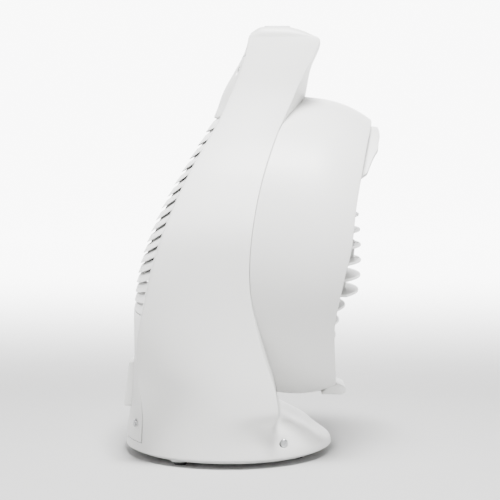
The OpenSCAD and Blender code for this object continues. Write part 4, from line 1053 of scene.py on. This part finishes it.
class HEATER_OT_strips(bpy.types.Operator):
    """Build the heating strips with their folded fins"""

    bl_idname = "heater.strips"
    bl_label = "Heating strips"

    def folds(self, y0, y1, x0, x1, s0, s1, pitch, thick):
        """A folded strip of foil between two plates."""
        n = int((y1 - y0) / pitch)
        bm = bmesh.new()
        points = [(mix(y0, y1, i / (2 * n)), (x0, x1)[i % 2]) for i in range(2 * n + 1)]
        verts = [bm.verts.new((x * MM, y * MM, s0 * MM)) for y, x in points]
        edges = [bm.edges.new(pair) for pair in zip(verts, verts[1:])]
        raised = bmesh.ops.extrude_edge_only(bm, edges=edges)["geom"]
        verts = [v for v in raised if isinstance(v, bmesh.types.BMVert)]
        bmesh.ops.translate(bm, vec=(0, 0, (s1 - s0) * MM), verts=verts)
        bmesh.ops.recalc_face_normals(bm, faces=bm.faces)
        return mesh_of(modified(piece("folds", bm), "SOLIDIFY", thickness=thick * MM, offset=0))

    def execute(self, context):
        form = Form(context.scene.heater_sizes)
        room, high, s0, s1 = 118.6, 16, 3, 17
        core_half, plate_at, fold_pitch, foil = 1.4, 7, 2.6, 0.25
        pitch = room / form.strip_n
        parts = []
        for i in range(form.strip_n):
            x = (i + 0.5) * pitch - room / 2
            for side in (-1, 1):
                core, plate, edge = x + side * core_half, x + side * plate_at, x + side * high / 2
                ends = (-room / 2 + 3, room / 2 - 3, core, plate, s0 + 0.5, s1 - 0.5)
                parts.append(self.folds(*ends, fold_pitch, foil))
                strip = block(*sorted((plate, edge)), -room / 2, room / 2, s0, s1)
                parts.append(rounded(strip, 0.25, 2))
            core = block(x - core_half, x + core_half, -room / 2, room / 2, s0, s1)
            parts.append(rounded(core, 0.3, 2))
        strips = piece("heating_strip_fins", moved(joined(parts), form.axis))
        placed(strips, "heating_strip", ["heating_strips"])
        return {"FINISHED"}


class HEATER_OT_fan(bpy.types.Operator):
    """Build the fan with its twisted blades"""

    bl_idname = "heater.fan"
    bl_label = "Fan"

    def execute(self, context):
        form = Form(context.scene.heater_sizes)
        s0, s1, hub = -44, -24, form.hub_r
        profile = [(2.05, s0), (hub - 1, s0), (hub, s0 + 1)]
        profile += [(hub - 3 + 3 * cos(a), s1 - 3 + 3 * sin(a)) for a in steps(0, pi / 2, 6)]
        profile += [(7.5, s1), (6.5, s1 - 1), (2.05, s1 - 1)]
        parts = [turned(profile, 72, closed=True)]
        middle, deep, root = (s0 + s1) / 2, (s1 - s0) / 2 - 1.6, hub - 2

        def blade(first):
            def place(r, c):
                out = (r - root) / (form.fan_r - root)
                pitch = radians(mix(40, 22, out))
                half = min(mix(13, 25, out**0.7), deep / sin(pitch)) * (1 - max(out, 0) ** 9) ** 0.5
                across = half * c + 4 * out * out
                rise = across * sin(pitch) + 1.5 * (1 - c * c) * (1 - out)
                angle = first + (across * cos(pitch) + 10 * out) / r
                return r * cos(angle), r * sin(angle), middle + max(min(rise, deep), -deep)

            skin = bent_grid(steps(root, form.fan_r - 0.3, 26), steps(-1, 1, 14), place)
            bmesh.ops.recalc_face_normals(skin, faces=skin.faces)
            obj = piece("blade", skin)
            modified(obj, "SOLIDIFY", thickness=1.7 * MM, offset=0)
            return mesh_of(softened(obj, 0.5, 2, 50))

        parts += [blade(k * 2 * pi / form.blade_n) for k in range(form.blade_n)]
        fan = piece("fan_blades", moved(joined(parts), form.axis))
        placed(fan, "dark_plastic", ["fan"], body="fan_rotor")
        return {"FINISHED"}


class HEATER_OT_rear_cover(bpy.types.Operator):
    """Build the rear cover with its louvres and the window for the cord inlet"""

    bl_idname = "heater.rear_cover"
    bl_label = "Rear cover"

    slot_h = 2.0
    step_out = 1.1
    sag = 11.0
    window_share = 0.955

    def reach(self, form, z):
        """Share of the rear line that the cover takes."""
        half = curve(form.side_y, z) - curve(form.seam_in, z)
        return 1 - (COVER_WALL + form.seam) / half

    def point(self, form, z, t, inward=0.0):
        """Point of the cover's face, set in by a distance."""
        t *= self.reach(form, z)
        x, y = form.rear_point(z, abs(t))
        return x + inward, y if t > 0 else -y, z

    def sagged(self, form, z, t):
        """Height of a louvre's line at t, lower towards the middle of the back."""
        share = min(max((z - self.low) / (self.high - self.low), 0), 1)
        return z - self.sag * (1 - t * t) * sin(pi * share) ** 0.8

    def slat(self, form, z, top):
        """One louvre, its lower edge proud of the next one down."""
        deep, lift, wide = 3.5, 2.5, 0.97
        out = self.step_out
        corners = [(z, 0, 0), (top, out, 0), (top, out + deep, lift), (z, deep, lift), (z, 0, 0)]

        def place(t, i):
            height, inward, raised = corners[i]
            height = self.sagged(form, height, t)
            x, y, _ = self.point(form, height, t * wide, inward)
            return x, y, height + raised

        bm = capped(bent_grid(steps(-1, 1, 36), list(range(5)), place))
        return rounded(bm, 0.45, 3, 30)

    def rib(self, form, t, z0, z1):
        """One upright rib behind the louvres."""
        half, deep = 0.012, 3.2
        bm = bent_grid(
            [t - half, t + half], steps(z0, z1, 24), lambda u, z: self.point(form, z, u, COVER_WALL)
        )
        return mesh_of(thickened(piece("rib", outward(bm, (60, 0, 170))), deep))

    def execute(self, context):
        form = Form(context.scene.heater_sizes)
        pitch = form.louvre_pitch
        count = int((form.louvre_high - form.louvre_low) / pitch)
        first = form.louvre_high - count * pitch
        low, high = self.low, self.high = first - 0.6, form.louvre_high
        heights = (
            steps(form.cover_foot + form.seam, low, 40) + steps(low, high, 56)[1:]
            + steps(high, form.cover_top - form.seam, 20)[1:]
        )
        across = [-1] + steps(-self.window_share, self.window_share, 38) + [1]
        bm = bent_grid(across, heights, lambda t, z: self.point(form, z, t))
        window = []
        for face in bm.faces:
            middle = face.calc_center_median() / MM
            inside = form.rear_point(middle.z, self.window_share * self.reach(form, middle.z))[1]
            if low < middle.z < high and abs(middle.y) < inside:
                window.append(face)
        bmesh.ops.delete(bm, geom=window, context="FACES")
        cover = piece("rear_cover_panel", outward(bm, (60, 0, 150)))
        thickened(cover, COVER_WALL)
        softened(cover, 0.5, 3, 40)
        half, gap, seat = INLET_HALF + form.seam, form.seam, -COVER_SCREW_SINK
        carved(cover, block(-110, -70, -half, half, INLET_LOW - gap, INLET_HIGH + gap))
        profile = [(0, -20), (HEAD_ROOM_R, -20), (HEAD_ROOM_R, seat), (HOLE_R, seat), (HOLE_R, 20), (0, 20)]
        for x, y, z in cover_screw_places(form):
            turn = Matrix.Translation((x, y, z)) @ Matrix.Rotation(pi / 2, 4, "Y")
            carved(cover, moved(turned(profile, 32), turn))
        bottoms = [first + i * pitch for i in range(count)]
        slats = [self.slat(form, z, z + pitch - self.slot_h) for z in bottoms]
        ribs = [self.rib(form, t, low - 2, high + 2) for t in (-0.5, 0, 0.5)]
        merge_into(cover, *slats, *ribs)
        placed(cover, "white_plastic", ["rear_cover"])
        return {"FINISHED"}


def side_screw_places(form):
    """Where the side screws' dimples meet the foot's face."""
    x, z = form.foot_front - 36.5, form.rim_h + 10
    reach = (x - form.wide_x) / (curve(form.front_x, z) - form.wide_x)
    y = curve(form.side_y, z) * sqrt(1 - reach**2)
    return [(x, y, z), (x, -y, z)]


def cover_screw_places(form):
    """Where the rear cover's screws stand on the inside of its wall."""
    places = []
    for z, y in (
        (form.up(0.8), curve(form.side_y, form.up(0.8)) - 16), (form.low(0.17), form.foot_w / 2 - 55),
    ):
        share = y / (curve(form.side_y, z) - curve(form.seam_in, z))
        x = form.rear_point(z, share, COVER_WALL)[0] + form.seam
        places += [(x, y, z), (x, -y, z)]
    return places


def screw(length):
    """Pan-head screw along +Z, its head below z = 0."""
    radius, high, shank, tip = 3.04, 1.76, 1.6, 0.9
    slot_l, slot_w, slot_floor = 1.7, 0.32, -0.75
    profile = [(0, -high)]
    profile += [(radius * sin(a), -high * (0.35 + 0.65 * cos(a))) for a in steps(0, pi / 2, 7)[1:]]
    profile += [(radius, -0.1), (radius - 0.1, 0), (shank, 0), (shank, length - 1)]
    profile += [(tip, length), (0, length)]
    head = piece("screw", turned(profile, 40))
    for turn in (0, pi / 2):
        slot = block(-slot_l, slot_l, -slot_w, slot_w, -high - 1, slot_floor)
        carved(head, moved(slot, Matrix.Rotation(turn, 4, "Z")))
    return mesh_of(head)


class HEATER_OT_screws(bpy.types.Operator):
    """Build the screws that show: in the dimples, the rear cover and the base"""

    bl_idname = "heater.screws"
    bl_label = "Screws"

    def execute(self, context):
        form = Form(context.scene.heater_sizes)
        source, dimple_depth, base_seat = screw(12), 2, 4.7
        groups = {
            "side_screw_heads": ("side_screws", [
                Matrix.Translation((x, y - side * dimple_depth, z)) @ Matrix.Rotation(side * pi / 2, 4, "X")
                for side, (x, y, z) in zip((1, -1), side_screw_places(form))
            ]),
            "cover_screw_heads": ("cover_screws", [
                Matrix.Translation((x - COVER_SCREW_SINK, y, z)) @ Matrix.Rotation(pi / 2, 4, "Y")
                for x, y, z in cover_screw_places(form)
            ]),
            "base_screw_heads": ("base_screws", [
                Matrix.Translation((x, y, base_seat)) for x, y in foot_places(form)
            ]),
        }
        for name, (node, places) in groups.items():
            heads = joined([moved(source.copy(), place) for place in places])
            placed(piece(name, heads), "screw_steel", [node], angle=40)
        source.free()
        return {"FINISHED"}


def foot_places(form):
    """Where the rubber feet stand."""
    half = form.foot_w / 2
    return [(x, s * y) for x, y in ((-52, half - 27), (form.foot_front - 26.5, half - 59)) for s in (-1, 1)]


class HEATER_OT_controls(bpy.types.Operator):
    """Build the control panel with its dials, the knobs and the pilot lamp"""

    bl_idname = "heater.controls"
    bl_label = "Controls"

    def direction(self, turn):
        """Unit step from a knob's axis towards a mark, clockwise from the back as seen from above."""
        return -cos(turn), sin(turn)

    def knob(self, form, side):
        """Knob with a fluted skirt and a grip across it."""
        r, high, flutes, flute_depth, grip_half, shaft_r = form.knob_r, form.knob_h, 30, 0.22, 2, 3
        rows = [
            (0.01, 0), (r - 0.5, 0), (r, 0.5), (r - 0.3, high - 4.6), (r - 0.7, high - 3.7),
            (r - 1.5, high - 3.15), (r - 2.4, high - 3), (0.01, high - 3),
        ]

        def place(a, i):
            radius, z = rows[i]
            flute = flute_depth * abs(sin(flutes / 2 * a)) if 2 <= i <= 4 else 0
            return (radius - flute) * cos(a), (radius - flute) * sin(a), z

        skirt = capped(bent_grid(steps(0, 2 * pi, 180), list(range(len(rows))), place))
        grip = rounded(block(-r + 1.5, r - 1.5, -grip_half, grip_half, high - 5, high), 0.8, 4)
        obj = carved(piece("knob", skirt), rod(shaft_r, -1, 7, 48))
        merge_into(obj, grip)
        lift = Matrix.Translation((form.control_x, side * form.knob_gap / 2, form.deck_h + 0.6))
        line = rounded(block(-r + 1.9, -2.5, -0.5, 0.5, high - 0.4, high), 0.15, 2)
        return moved(mesh_of(obj), lift), moved(line, lift)

    def execute(self, context):
        form = Form(context.scene.heater_sizes)
        deck, x = form.deck_h, form.control_x
        half_gap, panel_t, shaft_hole, lamp_hole = form.knob_gap / 2, 2.5, 3.4, 2.55
        plate = rounded(extruded(form.plan(form.up(0.97), 5.5, 12, 20, 20), panel_t), 0.35, 2)
        panel = piece("control_panel_plate", moved(plate, Matrix.Translation((0, 0, deck - panel_t))))
        for y, radius in ((-half_gap, shaft_hole), (half_gap, shaft_hole), (0, lamp_hole)):
            hole = rod(radius, deck - 5, deck + 5, 48)
            carved(panel, moved(hole, Matrix.Translation((x, y, 0))))
        placed(panel, "grey_plastic", ["control_panel"])

        for name, side in (("heat_knob", -1), ("thermostat_knob", 1)):
            knob, line = self.knob(form, side)
            placed(piece(name + "_grip", knob), "knob_plastic", [name], body=name, angle=28)
            placed(piece(name + "_pointer", line), "dial_ink", body=name)

        marks, number_at, dot_at, ink = [], 14, 13.6, 0.12
        for i in range(4):
            dx, dy = self.direction(i * pi / 2)
            marks.append(self.number(str(i), x + number_at * dx, -half_gap + number_at * dy, deck, 3.2))
        for i in range(11):
            dx, dy = self.direction(radians(mix(-135, 135, i / 10)))
            if i % 2:
                dot = rod(0.35 + 0.05 * i, 0, ink, 16)
                place = Matrix.Translation((x + dot_at * dx, half_gap + dot_at * dy, deck))
                marks.append(moved(dot, place))
            else:
                text = str(1 + i // 2)
                marks.append(self.number(text, x + number_at * dx, half_gap + number_at * dy, deck, 2.8))
        placed(piece("dial_marks", joined(marks)), "dial_ink")

        r, rim, back, nose = 2.45, 0.9, deck - panel_t, deck + 0.2
        profile = [(0, back - 0.5), (r + rim, back - 0.5), (r + rim, back), (r, back), (r, nose)]
        profile += [(r * cos(a), nose + 0.8 * sin(a)) for a in steps(0, pi / 2, 6)[1:]]
        lamp = piece("pilot_lamp_lens", moved(turned(profile, 40), Matrix.Translation((x, 0, 0))))
        placed(lamp, "lamp_lens", ["pilot_lamp"])
        return {"FINISHED"}

    def number(self, text, x, y, z, size):
        """A raised number that reads from the front."""
        half_ink = 0.06
        data = bpy.data.curves.new("number", "FONT")
        data.body, data.size, data.extrude = text, size * MM, half_ink * MM
        data.align_x, data.align_y = "CENTER", "CENTER"
        data.resolution_u = 3
        obj = bpy.data.objects.new("number", data)
        bpy.context.scene.collection.objects.link(obj)
        bpy.context.view_layer.update()
        graph = bpy.context.evaluated_depsgraph_get()
        mesh = bpy.data.meshes.new_from_object(obj.evaluated_get(graph), depsgraph=graph)
        bm = bmesh.new()
        bm.from_mesh(mesh)
        bmesh.ops.remove_doubles(bm, verts=bm.verts, dist=1e-6)
        bmesh.ops.recalc_face_normals(bm, faces=bm.faces)
        bpy.data.objects.remove(obj)
        bpy.data.curves.remove(data)
        bpy.data.meshes.remove(mesh)
        return moved(bm, Matrix.Translation((x, y, z + half_ink)) @ Matrix.Rotation(pi / 2, 4, "Z"))


class HEATER_OT_base(bpy.types.Operator):
    """Build the base plate, the rubber feet, the cord inlet and its bush"""

    bl_idname = "heater.base"
    bl_label = "Base and cord inlet"

    def execute(self, context):
        form = Form(context.scene.heater_sizes)
        plunger_room, counts = 4.3, (14, 40, 40)
        tray = rounded(extruded(form.plan(form.rim_h, 6, *counts), 3), 0.8, 3)
        plate = piece("base_plate_tray", moved(tray, Matrix.Translation((0, 0, 3.5))))
        carved(plate, moved(rod(plunger_room, 0, 20, 48), Matrix.Translation((form.wide_x, 0, 0))))
        for x, y in foot_places(form):
            boss = turned([(0, 2.5), (6.4, 2.5), (7, 3.1), (7, 4.5), (0, 4.5)], 48)
            merge_into(plate, moved(boss, Matrix.Translation((x, y, 0))))
        lap = rounded(extruded(form.plan(form.rim_h, 1.8, *counts), 1.1), 0.3, 2)
        merge_into(plate, moved(lap, Matrix.Translation((0, 0, 5.35))))
        placed(plate, "base_plastic", ["base_plate"])

        profile = [(0, 0.3), (1.6, 0.3), (2, 0), (3.9, 0), (4.4, 0.35), (4.9, 2.2), (4.9, 2.5), (0, 2.5)]
        feet = [moved(turned(profile, 40), Matrix.Translation((x, y, 0))) for x, y in foot_places(form)]
        placed(piece("rubber_foot_pads", joined(feet)), "rubber", ["rubber_feet"])

        face, inner, low, high = -95.5, -81, INLET_LOW, INLET_HIGH
        seat, seat_r, bush_r, cord_r, skirt_lap = -90.8, 8.9, 6.4, 3.6, 3
        outline = [
            (inner, low), (face + 0.2, low), (face, low + 1), (face + 3.7, high - 1), (face + 4.5, high),
            (inner, high),
        ]
        box = rounded(side_slab(outline, -INLET_HALF, INLET_HALF), 1.2, 4, 40)
        inlet = piece("cord_inlet_box", box)
        across = Matrix.Translation((0, 0, (low + high) / 2)) @ Matrix.Rotation(pi / 2, 4, "Y")
        hole = [(0, -99), (seat_r, -99), (seat_r, seat), (bush_r, seat), (bush_r, -70), (0, -70)]
        carved(inlet, moved(turned(hole, 64), across))
        half = INLET_HALF + skirt_lap
        skirt = block(inner - 1.2, inner + 1, -half, half, low - skirt_lap, high + skirt_lap)
        merge_into(inlet, rounded(skirt, 0.4, 2))
        placed(inlet, "white_plastic", ["cord_inlet"])

        profile = [
            (cord_r, 0.6), (cord_r + 0.6, 0), (8.1, 0), (8.7, 0.6), (8.7, 2), (bush_r, 2), (bush_r, 10),
            (cord_r, 10),
        ]
        bush = moved(turned(profile, 56, closed=True), across @ Matrix.Translation((0, 0, -93)))
        bush = piece("gland_bush_ring", bush)
        placed(bush, "rubber", ["gland_bush"])
        return {"FINISHED"}


class HEATER_OT_carried(bpy.types.Operator):
    """Give every piece that is kept from the frame its finish"""

    bl_idname = "heater.carried"
    bl_label = "Kept pieces"

    def execute(self, context):
        for part in frame["record"]["subparts"]:
            obj = frame["nodes"][part["node"]]
            finish = FINISHES[part["material_slot"]]
            if not obj.material_slots:
                raise RuntimeError(f"{obj.name} has no material slot")
            for material_slot in obj.material_slots:
                material_slot.material = finish
        return {"FINISHED"}


class HEATER_OT_stage(bpy.types.Operator):
    """Set the pale floor, which glows as painted light behind the heater, the soft lights and the camera"""

    bl_idname = "heater.stage"
    bl_label = "Stage"

    def light(self, name, place, target, size, power):
        """A square soft light turned towards a point."""
        data = bpy.data.lights.new(name, "AREA")
        data.shape, data.size, data.energy = "SQUARE", size, power
        obj = bpy.data.objects.new(name, data)
        obj.location = place
        obj.rotation_euler = (Vector(target) - Vector(place)).to_track_quat("-Z", "Y").to_euler()
        bpy.context.scene.collection.objects.link(obj)

    def execute(self, context):
        scene = context.scene
        flat, cove, top, far_below = 3500, 1500, 2600, (0, 0, -1e6)
        profile = [(0, 0), (flat, 0)]
        profile += [(flat + cove * sin(a), cove * (1 - cos(a))) for a in steps(0, pi / 2, 12)[1:]]
        profile += [(flat + cove, top)]
        floor = piece("floor", outward(turned(profile, 96), far_below))
        floor.data.shade_smooth()
        floor.data.materials.append(FINISHES["backdrop"])

        world = bpy.data.worlds.new("studio")
        world.use_nodes = True
        sky = world.node_tree.nodes["Background"]
        sky.inputs["Color"].default_value = (1, 1, 1, 1)
        sky.inputs["Strength"].default_value = 0.02
        scene.world = world
        middle = (0, 0, 0.15)
        self.light("key", (0.15, -0.8, 1.8), middle, 0.5, 100)
        self.light("top", (0.05, -0.5, 1.9), middle, 0.6, 55)

        data = bpy.data.cameras.new("camera")
        data.lens, data.sensor_width, data.clip_end = 144, 36, 60
        camera = bpy.data.objects.new("camera", data)
        camera.location = (-0.002, -1.5, 0.2255)
        camera.rotation_euler = (pi / 2 - radians(2.89), 0, 0)
        scene.collection.objects.link(camera)
        scene.camera = camera
        return {"FINISHED"}


STEPS = (
    HEATER_OT_shell, HEATER_OT_rear_cover, HEATER_OT_barrel, HEATER_OT_front_ring, HEATER_OT_grille,
    HEATER_OT_guard, HEATER_OT_strips, HEATER_OT_fan, HEATER_OT_controls, HEATER_OT_base,
    HEATER_OT_screws, HEATER_OT_carried, HEATER_OT_stage,
)


class HEATER_PT_panel(bpy.types.Panel):
    """The heater's sizes, colours and building steps"""

    bl_idname = "HEATER_PT_panel"
    bl_label = "Fan heater"
    bl_space_type = "VIEW_3D"
    bl_region_type = "UI"
    bl_category = "Fan heater"

    def draw(self, context):
        for step in STEPS:
            self.layout.operator(step.bl_idname)
        for group in (context.scene.heater_sizes, context.scene.heater_colours):
            box = self.layout.box()
            for name in group.__annotations__:
                box.prop(group, name)


CLASSES = (HeaterSizes, HeaterColours, *STEPS, HEATER_PT_panel)


def register():
    """Adds the sizes, the colours, the tools and the panel."""
    for cls in CLASSES:
        bpy.utils.register_class(cls)
    bpy.types.Scene.heater_sizes = PointerProperty(type=HeaterSizes)
    bpy.types.Scene.heater_colours = PointerProperty(type=HeaterColours)


def unregister():
    """Takes them away again."""
    del bpy.types.Scene.heater_colours
    del bpy.types.Scene.heater_sizes
    for cls in reversed(CLASSES):
        bpy.utils.unregister_class(cls)


def main():
    """Builds the whole heater and its stage."""
    register()
    make_finishes(bpy.context.scene.heater_colours)
    for step in STEPS:
        group, name = step.bl_idname.split(".")
        getattr(getattr(bpy.ops, group), name)()


if __name__ == "__main__":
    main()
